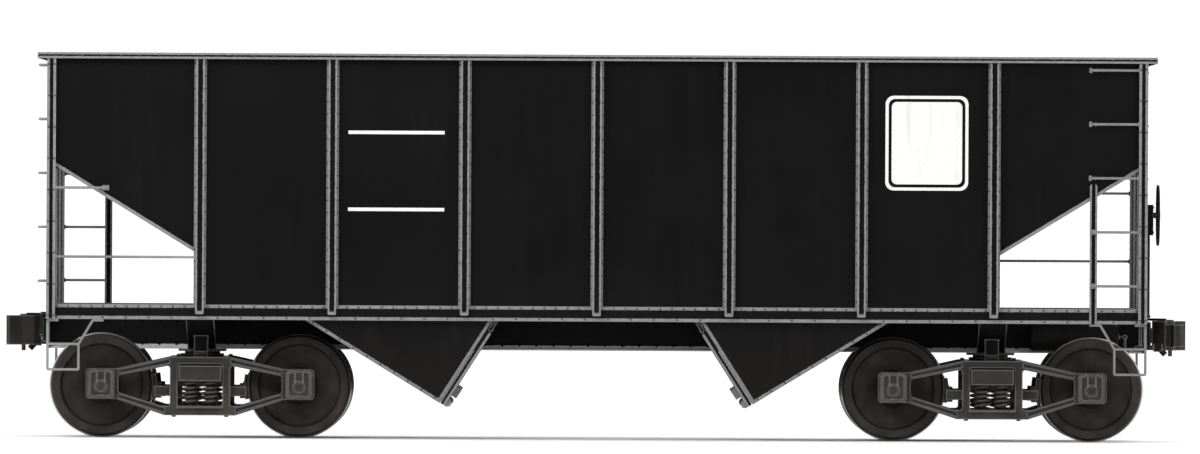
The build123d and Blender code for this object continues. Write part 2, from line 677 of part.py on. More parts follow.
def door_hinge():
    """The lugs under the ridge's foot and the pin through them, for one leaf."""
    def under(x):
        return ridge_z(x, -SLOPE_SHEET - SEAT)

    heel = HINGE_X - 2.0
    back = HINGE_X - LUG_REACH
    shape = [(HINGE_X - LUG_RADIUS, HINGE_Z), (back, under(back)), (heel, under(heel))]
    shape.append((HINGE_X + LUG_RADIUS, HINGE_Z))
    piece = rod((HINGE_X, LUG_YS[0], HINGE_Z), (HINGE_X, LUG_YS[-1], HINGE_Z), HINGE_PIN)
    for y in LUG_YS:
        y0 = y - HINGE_LUG / 2
        y1 = y + HINGE_LUG / 2
        piece += along_y(shape, y0, y1) + rod((HINGE_X, y0, HINGE_Z), (HINGE_X, y1, HINGE_Z), LUG_RADIUS)
    return piece


# Trucks, built round their own centre and then moved to TRUCK_X
def frame_top(x):
    return FRAME_TOP - (x - KNEE_TOP) * (FRAME_TOP - BOX_TOP) / (BOX_IN - KNEE_TOP)


def frame_foot(x):
    return FRAME_FOOT + (x - KNEE_FOOT) * (BOX_FOOT - FRAME_FOOT) / (BOX_IN - KNEE_FOOT)


def mirrored(points):
    return points + [(-x, z) for x, z in reversed(points)]


def side_frame():
    """A cast frame with a window for bolster and springs, two open arms and two journal boxes."""
    y0 = JOURNAL_Y - FRAME_HALF
    y1 = JOURNAL_Y + FRAME_HALF
    axle = WHEEL_BASE / 2
    box_out = axle + BOX_HALF
    edge = [(KNEE_TOP, FRAME_TOP), (BOX_IN, BOX_TOP), (box_out, BOX_TOP), (box_out, BOX_FOOT)]
    edge += [(BOX_IN, BOX_FOOT), (KNEE_FOOT, FRAME_FOOT)]
    frame = along_y(mirrored(edge), y0, y1, 35)
    window = [(WINDOW_HALF, WINDOW_TOP), (WINDOW_HALF, SPRING_BOTTOM)]
    frame -= along_y(mirrored(window), y0 - 1, y1 + 1, 20)
    column = WINDOW_HALF + COLUMN
    far = BOX_IN - ARM_END
    thin = ARM_DEPTH - ARM_TAPER  # depth of an arm where it meets the box
    arm = [(column, frame_top(column) - ARM_DEPTH), (column, SPRING_BOTTOM)]
    arm += [(KNEE_FOOT + 30, SPRING_BOTTOM), (far, frame_foot(far) + thin), (far, frame_top(far) - thin)]
    rim = ARM_RIM
    top_slot = [(KNEE_TOP, FRAME_TOP - rim), (far, frame_top(far) - rim)]
    top_slot += [(far, frame_top(far) - thin + rim), (KNEE_TOP, FRAME_TOP - ARM_DEPTH + rim)]
    low_slot = [(KNEE_FOOT, FRAME_FOOT + rim), (far, frame_foot(far) + rim)]
    low_slot += [(far, frame_foot(far) + thin - rim), (KNEE_FOOT, SPRING_BOTTOM - rim)]
    for shape in (arm, [(-x, z) for x, z in arm]):
        frame -= along_y(shape, y0 - 1, y1 + 1, 22)
    for slot in (top_slot, low_slot):
        for shape in (slot, [(-x, z) for x, z in slot]):
            frame -= along_y(shape, y0 - 1, y0 + ARM_RELIEF)
            frame -= along_y(shape, y1 - ARM_RELIEF, y1 + 1)
    seat = WINDOW_HALF + 4
    y = JOURNAL_Y
    frame += block(-seat, seat, y - SPRING_SEAT, y + SPRING_SEAT, SPRING_BOTTOM - SEAT_PLATE, SPRING_BOTTOM)
    bore = JOURNAL_RADIUS + PIN_GAP
    for x in (-axle, axle):
        frame += journal_box(x)
        frame -= rod((x, y0 - 60, WHEEL_RADIUS), (x, JOURNAL_END + 4, WHEEL_RADIUS), bore)
    low = BEAM_HEIGHT - GUIDE_HALF
    high = BEAM_HEIGHT + GUIDE_HALF
    for x in (-1, 1):
        near = x * (WINDOW_HALF + 10)
        tip = x * (GUIDE_REACH + 10)
        frame += block(min(near, tip), max(near, tip), y0 - GUIDE, y0 + 12, low, high)
    return frame


def journal_box(x):
    """The box round one journal, with its sprung lid."""
    half = BOX_HALF - 22
    z0 = WHEEL_RADIUS - half
    z1 = WHEEL_RADIUS + half + 14
    corners = [(x - half, z0), (x - half, z1), (x + half, z1), (x + half, z0)]
    box = along_y(corners, JOURNAL_Y - FRAME_HALF - 16, JOURNAL_END + 12, 24)
    lid_half = half - 16
    lid = [(x - lid_half, z0 + 14), (x - lid_half, z1 - 4), (x + lid_half, z1 - 4), (x + lid_half, z0 + 14)]
    box += along_y(lid, JOURNAL_END + 11, JOURNAL_END + 26, 30)
    pivot = (z1 + 2, JOURNAL_END + 12)
    return box + rod((x - 40, pivot[1], pivot[0]), (x + 40, pivot[1], pivot[0]), 12)


def truck_bolster():
    """The cross beam that rests on the springs, with the bowl for the centre plate."""
    half = WINDOW_HALF - 10.0
    top = WINDOW_TOP - 15.0
    edge = JOURNAL_END - 12.0
    bowl = CENTRE_PLATE_BOTTOM - SEAT
    side = [(edge, BOLSTER_FOOT), (edge, top), (BEARING_Y + 90, top + 12), (330, bowl - 20)]
    points = side + [(-y, z) for y, z in reversed(side)]
    belly = [(-JOURNAL_Y + 130, BOLSTER_FOOT), (-JOURNAL_Y + 330, BOLSTER_BELLY)]
    points += belly + [(-y, z) for y, z in reversed(belly)]
    beam = along_x(points, -half, half)
    for y in (-BOLSTER_SLOT_Y, BOLSTER_SLOT_Y):
        slot = [(y - 90, BOLSTER_FOOT), (y - 90, top - 50), (y + 90, top - 50), (y + 90, BOLSTER_FOOT)]
        beam -= along_x(slot, -half - 1, half + 1, 30)
    bearing_top = CENTRE_PLATE_BOTTOM + BEARING_STANDS - SWING_GAP
    for y in (-BEARING_Y, BEARING_Y):
        beam += block(-60, 60, y - 45, y + 45, top - 5, bearing_top)
    rim = CENTRE_PLATE_RADIUS + 34
    beam += Pos(0, 0, bowl - 40) * extrude(Circle(rim), amount=40 + BOWL_DEPTH)
    return beam - Pos(0, 0, bowl) * extrude(Circle(CENTRE_PLATE_RADIUS + 2), amount=BOWL_DEPTH + 1)


def spring(x, y):
    """A coil spring as a stack of rings on a core."""
    pitch = (SPRING_TOP - SPRING_BOTTOM) / SPRING_TURNS
    core = SPRING_RADIUS - SPRING_GROOVE
    profile = [(0, 0)]
    for turn in range(SPRING_TURNS):
        profile += [(core, turn * pitch), (SPRING_RADIUS, (turn + 0.5) * pitch)]
    profile += [(core, SPRING_TURNS * pitch), (0, SPRING_TURNS * pitch)]
    coil = revolve(Plane.XZ * outline(profile), axis=Axis.Z)
    return Pos(x, y, SPRING_BOTTOM) * coil


def springs():
    x = SPRING_RADIUS + SPRING_APART
    return [piece for side in (-x, x) for piece in both_sides(spring(side, JOURNAL_Y))]


def brake_beam():
    """A trussed beam with a head and a shoe in front of each wheel of the axle at +X."""
    axle = WHEEL_BASE / 2
    face = WHEEL_RADIUS + SHOE_GAP
    back = face + SHOE_DEPTH
    x1 = axle - back + 6.0
    x0 = x1 - 60.0
    y = JOURNAL_Y - FRAME_HALF - GUIDE - SEAT
    z = BEAM_HEIGHT
    beam = block(x0, x1, -y, y, z - 22, z + 22)
    strut = x0 - 90.0
    ring = Cylinder(back, SHOE_WIDTH) - Cylinder(face, SHOE_WIDTH + 2)
    ring = Pos(axle, 0, WHEEL_RADIUS) * Rot(90, 0, 0) * ring
    wedge = [(axle, WHEEL_RADIUS), (axle - 600, z - 110), (axle - 600, z + 175)]
    for side in (-1, 1):
        middle = side * (WHEEL_BACK + 45 + SHOE_WIDTH / 2)
        shoe = (Pos(0, middle, 0) * ring) & along_y(wedge, middle - SHOE_WIDTH, middle + SHOE_WIDTH)
        head = block(x0 + 20, x1 + 4, middle - 24, middle + 24, z - 60, z + 70)
        truss = rod((x0 + 12, side * TRUSS_FOOT, z), (strut + 12, 0, z), 14)
        beam += shoe + head + truss
    return beam + block(strut, x0 + 4, -20, 20, z - 18, z + 18)


def axle():
    """A plain-bearing axle: body, wheel seats, collars and journals."""
    steps = [(0, 78), (560, 84), (WHEEL_BACK - 40, 84), (WHEEL_BACK - 34, SEAT_RADIUS)]
    steps += [(HUB_OUT, SEAT_RADIUS), (HUB_OUT + 4, 80), (JOURNAL_Y - FRAME_HALF - 24, 80)]
    steps += [(JOURNAL_Y - FRAME_HALF - 20, JOURNAL_RADIUS), (JOURNAL_END, JOURNAL_RADIUS)]
    half = [(y, r) for y, r in steps[1:]]
    points = half + [(JOURNAL_END, 0), (-JOURNAL_END, 0)] + [(-y, r) for y, r in reversed(half)]
    return revolve(Plane.YZ * outline(points), axis=Axis.Y)


def wheel():
    """A rolled wheel: flange, coned tread, rim, dished plate and hub."""
    b = WHEEL_BACK
    r = WHEEL_RADIUS
    tip = r + FLANGE_DEPTH
    out = b + WHEEL_WIDTH
    rim = r - RIM_DEPTH
    seat = SEAT_RADIUS + 0.1
    tread = [(b, rim), (b, tip - 10), (b + 9, tip), (b + 20, tip), (b + 34, r + 3)]
    tread += [(out - 6, r - 3.2), (out, r - 9), (out, rim)]
    hub = HUB_RADIUS
    bend = HUB_RADIUS + 30
    plate = [(b + 76, rim - 18), (b + 48, bend), (HUB_OUT, hub), (HUB_OUT, seat)]
    plate += [(b - 24, seat), (b - 24, hub), (b + 20, bend), (b + 50, rim - 18)]
    return revolve(Plane.YZ * outline(tread + plate), axis=Axis.Y)


# Couplers and draft gear
def knuckle_outline():
    """Points (forward of the pulling face, across) of the knuckle."""
    nose = [(-60, -128), (-20, -162), (35, -140), (62, -95), (58, -30), (36, 6)]
    return nose + [(12, 4), (4, -30), (0, -78), (-44, -84)]


def coupler_head():
    """The head in the same frame: flaring sides, the guard arm and the jaw."""
    jaw = [(-205, -SHANK_HALF), (-205, SHANK_HALF), (-150, 120), (-50, 150), (60, 212), (88, 190), (24, 104)]
    jaw += [(-52, 62), (-72, -20), (-62, -84), (-64, -126), (-100, -168), (-150, -132)]
    return jaw


def coupler():
    """Head and shank, at the +X end. The knuckle is a piece of its own."""
    z = COUPLER_HEIGHT
    half = HEAD_HEIGHT / 2
    head = along_z([(PULLING_FACE + u, v) for u, v in coupler_head()], z - half, z + half, 12)
    back = END_OUT - SHANK_INSIDE
    shank = block(back, PULLING_FACE - 190, -SHANK_HALF, SHANK_HALF, z - SHANK_HALF, z + SHANK_HALF)
    ear = [(-110, -60), (-110, -150), (-30, -168), (-10, -130), (-30, -90)]
    ear = [(PULLING_FACE + u, v) for u, v in ear]
    jaw = KNUCKLE_HEIGHT / 2 + SEAT
    ears = along_z(ear, z - half, z - jaw) + along_z(ear, z + jaw, z + half)
    return head + shank + ears


def knuckle():
    z = COUPLER_HEIGHT
    points = [(PULLING_FACE + u, v) for u, v in knuckle_outline()]
    body = along_z(points, z - KNUCKLE_HEIGHT / 2, z + KNUCKLE_HEIGHT / 2, 8)
    return body - coupler()


def striker():
    """The casting round the shank: it takes the buff and carries the coupler."""
    z = COUPLER_HEIGHT
    base = END_OUT + SEAT
    inner = SHANK_HALF + 20.0
    carrier = z - SHANK_HALF - SEAT
    wide = STRIKER_HALF
    plate = block(base, base + STRIKER_PLATE, -wide, wide, CENTRE_SILL_BOTTOM, SILL_TOP - 12)
    rim = STRIKER_RIM
    low = carrier - rim
    high = z + inner + rim
    box = block(base - SILL_WALL, base + STRIKER_REACH, -inner - rim, inner + rim, low, high)
    box = fillet(box.faces().sort_by(Axis.X)[-1].edges(), 14)
    hole = block(base - 400, base + 400, -inner, inner, carrier, z + inner)
    return plate + box - hole


# Steps, ladders and grab irons
def handhold(foot, post, face, z):
    """A round iron at height z: butted on a post at one end and bent to a sheet at the other."""
    turn = 1 if post > foot else -1
    y = face + IRON_STAND
    end = post - turn * SEAT
    bar = bent_rod([(foot, face + SEAT, z), (foot, y, z), (end, y, z)], IRON_RADIUS)
    across = PAD_HALF_WIDTH
    up = PAD_HALF_HEIGHT
    pad = block(foot - across, foot + across, face + SEAT, face + SEAT + PAD_THICK, z - up, z + up)
    collar = rod((end, y, z), (end - turn * COLLAR_LENGTH, y, z), IRON_RADIUS + IRON_COLLAR)
    return bar + pad + collar


def ladder():
    """The ladder at the right-hand end of the +Y side: irons on the sheet, then irons from a stile."""
    x = -LADDER_X
    half = STILE_WIDTH / 2
    post = -HALF_LENGTH
    face = SILL_OUT + SEAT
    top = slope_z(LADDER_X + half) + STILE_OVER_SLOPE
    stile = block(x - half, x + half, face, face + STILE_WALL, SILL_BOTTOM, top)
    stile = fillet(stile.edges().filter_by(Axis.Y).group_by(Axis.Z)[-1], half - 4)
    filler = half - 6
    stile += block(x - filler, x + filler, SKIN + SEAT, face + 1, top - 70, top - 24)
    pieces = []
    for z in RUNG_HEIGHTS:
        if z - PAD_HALF_HEIGHT > top:
            pieces.append(handhold(x + IRON_RADIUS, post, SKIN, z))
        else:
            stile += handhold(x, post, face + STILE_WALL - SEAT, z)
    return pieces + [stile]


def left_irons():
    """At the left-hand end of the +Y side: a grab iron on the sheet and a long rod below it."""
    iron = handhold(GRAB_X, HALF_LENGTH, SKIN, slope_z(GRAB_X) + GRAB_OVER_SLOPE)
    x0 = post_xs()[-1] + POST_WIDTH / 2 + SEAT
    x1 = HALF_LENGTH - SEAT
    y = SKIN + IRON_STAND
    z = LONG_ROD_HEIGHT
    bar = rod((x0, y, z), (x1, y, z), IRON_RADIUS)
    for end, turn in ((x0, 1), (x1, -1)):
        bar += rod((end, y, z), (end + turn * COLLAR_LENGTH, y, z), IRON_RADIUS + IRON_COLLAR)
    return [iron, bar]


def end_ladder():
    """Irons from a stile to the corner post, on the right-hand side of the +X end."""
    y = END_LADDER_Y
    half = STILE_WIDTH / 2
    face = END_OUT
    top = CHORD_UNDER - SEAT
    stile = block(face - STILE_WALL, face, y - half, y + half, SILL_TOP + SEAT, top)
    x = face + IRON_STAND
    far = SKIN + POST_DEPTH / 2
    for z in RUNG_HEIGHTS:
        points = [(face - 1, y, z), (x, y, z), (x, far, z), (face + SEAT, far, z)]
        stile += bent_rod(points, IRON_RADIUS)
    return stile


def stirrup():
    """A step under the right-hand corner of the +Y side: two treads of one bent bar."""
    y1 = SILL_OUT
    y0 = y1 - STEP_BAR
    half = STEP_WALL / 2
    high = SILL_BOTTOM - SEAT - half
    outer = END_OUT - half - 2
    inner = outer - STEP_LENGTH
    top = inner - STEP_RAKE
    points = [(outer - 90, high), (outer, high), (outer, STEP_LOW), (inner, STEP_LOW), (inner, STEP_HIGH)]
    points += [(top, high), (top - 90, high)]
    bar = bent_strip(points, y0, y1, STEP_WALL, 11)
    return bar + block(inner, outer, y0, y1, STEP_HIGH - half, STEP_HIGH + half)


def uncoupling_rod():
    """From the lock lift on the coupler head along the end sill to a handle at the corner."""
    x = END_OUT + LEVER_STAND
    y = HALF_WIDTH - LEVER_INSET
    z = COUPLER_HEIGHT + HEAD_HEIGHT / 2 + SEAT + IRON_RADIUS
    points = [(PULLING_FACE - 90, 0, z), (x, 200, z), (x, y, z), (x, y + 70, z - LEVER_HANDLE)]
    lever = bent_rod(points, IRON_RADIUS)
    bracket = block(END_OUT + SEAT, x + 8, y - 80, y - 55, SILL_BOTTOM + 4, z + 24)
    return lever + bracket


# Brake gear
def brake_pipe():
    """The train pipe at the +X end: out of the centre sill, along it and out to an angle cock."""
    y = -CENTRE_SILL_HALF - SEAT - PIPE_RADIUS
    web = -CENTRE_SILL_INSIDE - CENTRE_SILL_WEB - SEAT
    z = PIPE_HEIGHT
    x = TRUCK_X + PIPE_FROM_TRUCK
    far = y - PIPE_OFFSET
    end = END_OUT + PIPE_REACH
    points = [(x, web, z), (x, y, z), (END_OUT - 150, y, z), (END_OUT - 60, far, z), (end, far, z)]
    pipe = bent_rod(points, PIPE_RADIUS)
    pipe += rod((end - 6, far, z), (end + 70, far, z), PIPE_RADIUS + 13)
    pipe += rod((end + 40, far, z), (end + 95, far, z - 60), PIPE_RADIUS + 4)
    hanger = block(END_OUT - 40, END_OUT - 15, far - 16, far + 16, z, SILL_BOTTOM - SEAT)
    return pipe + hanger


def air_tank(length, x, side):
    """A drum with domed ends, hung beside the centre sill on two brackets."""
    y = side * GEAR_Y
    z = GEAR_HEIGHT
    drum = rod((x - length / 2, y, z), (x + length / 2, y, z), GEAR_RADIUS)
    drum = fillet(drum.edges(), DOME)
    inner = side * (CENTRE_SILL_INSIDE + CENTRE_SILL_WEB + SEAT)
    for spot in (x - length * 0.3, x + length * 0.3):
        drum += block(spot - 8, spot + 8, min(inner, y), max(inner, y), z - 60, z + GEAR_RADIUS)
    return drum


def brake_cylinder():
    """The cylinder with its pressure head, and a push rod that works a lever on the centre sill."""
    x = TRUCK_X + GEAR_FROM_TRUCK
    body = air_tank(CYLINDER_LENGTH, x, 1)
    y = GEAR_Y
    z = GEAR_HEIGHT
    head = x + CYLINDER_LENGTH / 2
    neck = x - CYLINDER_LENGTH / 2 - NECK_LENGTH + 10
    body += rod((head - 20, y, z), (head + 6, y, z), GEAR_RADIUS + 18)
    body += rod((neck, y, z), (neck + NECK_LENGTH + 10, y, z), NECK_RADIUS)
    body += rod((neck - PUSH_ROD_LENGTH, y, z), (neck + 10, y, z), PUSH_ROD_RADIUS)
    web = CENTRE_SILL_INSIDE + CENTRE_SILL_WEB + SEAT
    end = neck - PUSH_ROD_LENGTH
    far = y + LEVER_PAST_ROD
    lever = block(end, end + LEVER_THICK, web, far, z - LEVER_HALF_WIDTH, z + LEVER_HALF_WIDTH)
    return body + lever


def hand_brake():
    """A gear case on the left-hand end post, with its wheel and the rod down to the sill."""
    x = END_OUT + SEAT
    y = -END_POST_Y
    z = BRAKE_WHEEL_HEIGHT
    case = [(y - 105, z - 60), (y - 70, z - 170), (y + 70, z - 170), (y + 105, z - 60), (y + 90, z + 90)]
    case.append((y - 90, z + 90))
    body = along_x(case, x, x + 70, 30)
    body += rod((x + 60, y, z), (x + BRAKE_WHEEL_REACH, y, z), 24)
    hub = x + BRAKE_WHEEL_REACH
    reach = BRAKE_WHEEL_RADIUS - BRAKE_WHEEL_RIM
    ring = Pos(hub - 20, y, z) * Rot(0, 90, 0) * Torus(reach, BRAKE_WHEEL_RIM)
    wheel_piece = ring + rod((hub - 40, y, z), (hub, y, z), 36)
    for spoke in range(6):
        turn = radians(60 * spoke)
        tip = (hub - 20, y + reach * cos(turn), z + reach * sin(turn))
        wheel_piece += rod((hub - 20, y, z), tip, 9)
    chain = rod((x + 34, y, z - 160), (x + 34, y, SILL_TOP - 60), 10)
    foot = block(x, x + 50, y - 16, y + 16, SILL_TOP - 76, SILL_TOP - 50)
    return body + wheel_piece + chain + foot


# Nodes
def write_body():
    write("side_sheets_left", *side_sheets())
    write("side_sheets_right", *[mirror(panel, about=Plane.XZ) for panel in side_sheets()])
    write("side_posts_left", *[side_post(x) for x in post_xs()])
    write("side_posts_right", *[mirror(side_post(x), about=Plane.XZ) for x in post_xs()])
    write("corner_posts", *four_corners(corner_post()))
    write("side_chords", *both_sides(side_chord()))
    write("end_chords", *both_ends(end_chord()))
    write("end_sheets", *both_ends(end_sheet()))
    write("end_posts", *four_corners(end_post()))
    write("side_sills", *both_sides(side_sill()))
    write("end_sills", *both_ends(end_sill()))
    write("centre_sill", centre_sill())
    write("centre_plates", *both_ends(centre_plate()))
    write("bolsters", *four_corners(bolster()))
    write("bolster_saddles", *both_ends(bolster_saddle()))
    write("crossbearer", *both_sides(crossbearer()))
    write("slope_sheets_a", *[mirror(sheet, about=Plane.YZ) for sheet in slope_sheets()])
    write("slope_sheets_b", *slope_sheets())
    write("chute_sides", *four_corners(chute_outer()), *four_corners(chute_inner()))
    write("ridge_sheets", *[piece for sheet in ridge_sheets() for piece in both_ends(sheet)])
    write("sill_hoods", *four_corners(hood()))
    write("door_hinges", *four_corners(door_hinge()))
    write("strikers", *both_ends(striker()))
    write("couplers", *turned(coupler()))
    write("knuckles", *turned(knuckle()))
    write("side_ladders", *[piece for part in ladder() for piece in turned(part)])
    write("grab_irons", *[piece for part in left_irons() for piece in turned(part)])
    write("end_ladders", *turned(end_ladder()))
    write("stirrups", *four_corners(stirrup()))
    write("uncoupling_rods", *turned(uncoupling_rod()))
    write("brake_pipe", *turned(brake_pipe()))
    write("brake_cylinder", brake_cylinder())
    write("air_reservoir", air_tank(RESERVOIR_LENGTH, TRUCK_X + GEAR_FROM_TRUCK, -1))
    write("hand_brake", hand_brake())


def write_doors():
    pair = door_pair()
    write("doors_b", pair)
    write("doors_a", Rot(0, 0, 180) * pair)


def write_trucks():
    frames = both_sides(side_frame())
    coils = springs()
    beams = both_ends(brake_beam())
    for end, x in (("a", -TRUCK_X), ("b", TRUCK_X)):
        place = Pos(x, 0, 0)
        write(f"side_frames_{end}", *[place * frame for frame in frames])
        write(f"truck_bolster_{end}", place * truck_bolster())
        write(f"springs_{end}", *[place * coil for coil in coils])
        write(f"brake_beams_{end}", *[place * beam for beam in beams])
        for number, offset in ((1, -WHEEL_BASE / 2), (2, WHEEL_BASE / 2)):
            spot = Pos(x + offset, 0, WHEEL_RADIUS)
            write(f"axle_{end}{number}", spot * axle())
            write(f"wheels_{end}{number}", *[spot * piece for piece in both_sides(wheel())])


os.makedirs("parts", exist_ok=True)
write_body()
write_doors()
write_trucks()
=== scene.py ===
from math import atan2, cos, pi, radians, sin, tan, tau

import bpy
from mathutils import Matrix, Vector


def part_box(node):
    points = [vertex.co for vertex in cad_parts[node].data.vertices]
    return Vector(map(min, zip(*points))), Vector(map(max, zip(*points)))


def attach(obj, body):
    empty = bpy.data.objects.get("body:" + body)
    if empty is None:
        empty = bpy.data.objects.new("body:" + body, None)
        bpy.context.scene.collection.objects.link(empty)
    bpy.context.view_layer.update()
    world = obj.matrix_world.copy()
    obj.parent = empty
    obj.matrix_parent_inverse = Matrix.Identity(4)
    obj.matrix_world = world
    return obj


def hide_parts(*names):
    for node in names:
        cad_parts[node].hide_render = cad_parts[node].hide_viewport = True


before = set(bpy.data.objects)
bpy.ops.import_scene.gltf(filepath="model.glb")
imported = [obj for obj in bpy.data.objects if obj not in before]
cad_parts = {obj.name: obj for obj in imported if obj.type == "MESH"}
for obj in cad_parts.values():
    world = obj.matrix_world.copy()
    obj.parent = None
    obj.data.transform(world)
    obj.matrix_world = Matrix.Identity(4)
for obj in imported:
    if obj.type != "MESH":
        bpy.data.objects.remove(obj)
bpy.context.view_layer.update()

X = Vector((1, 0, 0))
Y = Vector((0, 1, 0))
Z = Vector((0, 0, 1))

# The camera, which frames the wagon as the drawing does
IMAGE_WIDTH = 1200
METRES_PER_PIXEL = 0.00844
AIM_X = 0.025  # middle of the drawing, from the middle of the wagon
AIM_HEIGHT = 1.802
LENS = 600.0  # millimetres, as the sensor is
SENSOR = 36.0
ROLL = -0.0052  # the drawing lies a little askew
FAR_CLIP = 1000.0

# Floor
FLOOR_RADIUS = 42.0
FLOOR_SIDES = 96
FLOOR_DROP = 0.0006

# Boxes of the solids that details are set on
sheet_low, sheet_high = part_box("side_sheets_right")
post_low, post_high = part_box("side_posts_right")
corner_low, corner_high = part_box("corner_posts")
sill_low, sill_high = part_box("side_sills")
chord_low, chord_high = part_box("side_chords")
end_sheet_low, end_sheet_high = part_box("end_sheets")
end_sill_low, end_sill_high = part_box("end_sills")
centre_low, centre_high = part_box("centre_sill")

# Lines of the hopper from the side, as x and height
LIFT = 0.0254  # the wheel flanges reach this far below the top of rail
TIP = (1.325, 0.282 + LIFT)  # lowest edge of a slope sheet
SLOPE_END = (4.572, 2.266 + LIFT)
RIDGE_FOOT = (0.905, 0.940 + LIFT)
SLOPE = atan2(SLOPE_END[1] - TIP[1], SLOPE_END[0] - TIP[0])
OFF_SLOPE = Vector((-sin(SLOPE), 0, cos(SLOPE)))
DOOR_LEAN = atan2(TIP[0] - RIDGE_FOOT[0], RIDGE_FOOT[1] - TIP[1])

# The load space
INSIDE_HALF = -sheet_high.y
INSIDE_END = SLOPE_END[0]
SLOPE_SHEET = 0.008  # thickness
SEAT = 0.0003  # between two plates that are riveted together
HIP = 1.250 + LIFT  # height where the sides lean in to the chutes
CHUTE_FOOT_Y = 1.150
INNER_CHUTE_Y = 0.248
CHUTE_LEAN = (INSIDE_HALF - SEAT - CHUTE_FOOT_Y) / (HIP - TIP[1])

# Posts, chords and irons
POST_COUNT = 7
POST_CROWN_HALF = 0.036
POST_FLANGE = 0.016
POST_WALL = 0.008
POST_HALF = POST_CROWN_HALF + POST_FLANGE
POST_PITCH = (post_high.x - post_low.x - 2 * POST_HALF) / (POST_COUNT - 1)
POST_XS = [post_low.x + POST_HALF + i * POST_PITCH for i in range(POST_COUNT)]
END_POST_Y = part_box("end_posts")[1].y - POST_HALF
CORNER_WIDTH = 0.076
CHORD_WALL = 0.012
LADDER_X = 4.192
STILE_FACE = 1.3985  # outer face of a ladder's stile

# Trucks
TRUCK_X = 3.3528
TRUCKS = (("a", -TRUCK_X), ("b", TRUCK_X))
WHEEL_BASE = 1.676
AXLE_HEIGHT = 0.419 + LIFT
COLUMN_X = 0.222  # columns of the side frames, from the truck's middle
COLUMN_BOLT = 0.028  # from the middle of a column
COLUMN_BOLT_TOP = 0.660 + LIFT
COLUMN_BOLT_FOOT = 0.165 + LIFT
STRUT_X = 0.243  # struts of the brake beams, from the truck's middle
LEVER_SIZE = (0.018, 0.052, 0.275)
LEVER_MIDDLE = 0.4225 + LIFT
LEVER_PINS = (0.310 + LIFT, 0.370 + LIFT, 0.540 + LIFT)
LEVER_PIN = (0.022, 0.013)  # half length and radius
ROD_HEIGHT = 0.310 + LIFT
ROD_RADIUS = 0.015
SPRING_X = 0.084
SPRING_Y = 0.978
COIL_SIDES = 10
COIL_STEPS = 26  # to a turn
FLAT_TURNS = 0.75  # of a spring's bar, at each end
FLAT_LAG = 0.45  # share of the climb that is left out there
OUTER_COIL = (0.0595, 0.0125, 5.0)  # radius of the coil's line, of the bar, and the turns
INNER_COIL = (0.0300, 0.0075, 7.5)

# Lids of the journal boxes
LID_FACE = 1.126  # from the wagon's middle line
LID_BARS = (  # middle, as along, out and up from the middle of the lid, and size
    ((-0.034, 0.0035, 0.069), (0.016, 0.007, 0.086)),
    ((0.034, 0.0035, 0.069), (0.016, 0.007, 0.086)),
    ((0.0, 0.007, -0.086), (0.060, 0.022, 0.012)),
)
LID_EARS = (-0.052, 0.052)  # along, from the middle of the lid
LID_EAR = (1.112, 0.543 + LIFT)  # out from the wagon's middle line, and height
LID_EAR_SIZE = (0.007, 0.019)  # half length and radius
BOSS_DROP = 0.012  # from the axle's height
BOSS_SIDES = 28
BOSS = (  # height and radius of each ring
    (-0.002, 0.062), (0.004, 0.060), (0.009, 0.052), (0.010, 0.046), (0.006, 0.038), (0.003, 0.030),
)

# Couplers, their strikers, and brake gear
PULLING_FACE = 4.935
COUPLER_TOP = 1.001 + LIFT
KNUCKLE_PIN = (PULLING_FACE - 0.055, -0.118)
PIN_HEAD = (-0.010, 0.012, 0.030)  # ends, from the coupler's top, and radius
PIN_TAIL = (-0.300, -0.245, 0.018)
STRIKER_PLATE = 0.050  # behind the striker's face
STRIKER_ROWS = (-0.235, -0.155, 0.155, 0.235)
STRIKER_EDGE = 0.045  # from the edge to a rivet
GEAR_Y = 0.400
GEAR_HEIGHT = 0.865 + LIFT
PIPE_RADIUS = 0.0135
PIPE_PAST_DRUM = 0.055
PIPE_UNDER_SILL = 0.034
PIPE_INSET = (0.02, 0.004)  # into the reservoir's end and the cylinder's
UNION_START = (-0.008, 0.010)  # from the reservoir's end and the cylinder's
ELBOW = (0.022, 0.021)  # half length and radius
UNION = (0.018, 0.022)  # length and radius
HEAD_BOLTS = 8  # round the brake cylinder's head
HEAD_BOLT_CIRCLE = 0.127
HEAD_BOLT_TURN = 0.2
PUSH_ROD_EYE = 0.010  # from the rod's end
PUSH_ROD_PIN = (0.046, 0.012)  # half length and radius
PUSH_ROD_WASHER = (0.032, 0.037, 0.021)  # ends, from the rod's middle, and radius
BRAKE_WHEEL_HEIGHT = 1.900 + LIFT
CASE_DEPTH = 0.0703  # of the hand brake's gear case
CASE_BOLTS = ((-0.070, 0.066), (0.070, 0.066), (-0.048, -0.145), (0.048, -0.145))

# Small fasteners: radius of the head and how far it stands out
POST_RIVET = (0.0075, 0.005)
CHORD_RIVET = (0.0075, 0.004)
LINE_RIVET = (0.0095, 0.006)
SHEET_RIVET = (0.011, 0.007)
FRAME_RIVET = (0.014, 0.010)
LOW_RIVET = (0.014, 0.003)
SMALL_BOLT = (0.009, 0.007)
BIG_BOLT = (0.019, 0.014)
HEX = 6
WASHER_SIDES = 12
DOME_SIDES = 10
DOME = ((0.0, 1.0), (0.55, 0.86), (0.90, 0.50))  # shares of a rivet's height and radius

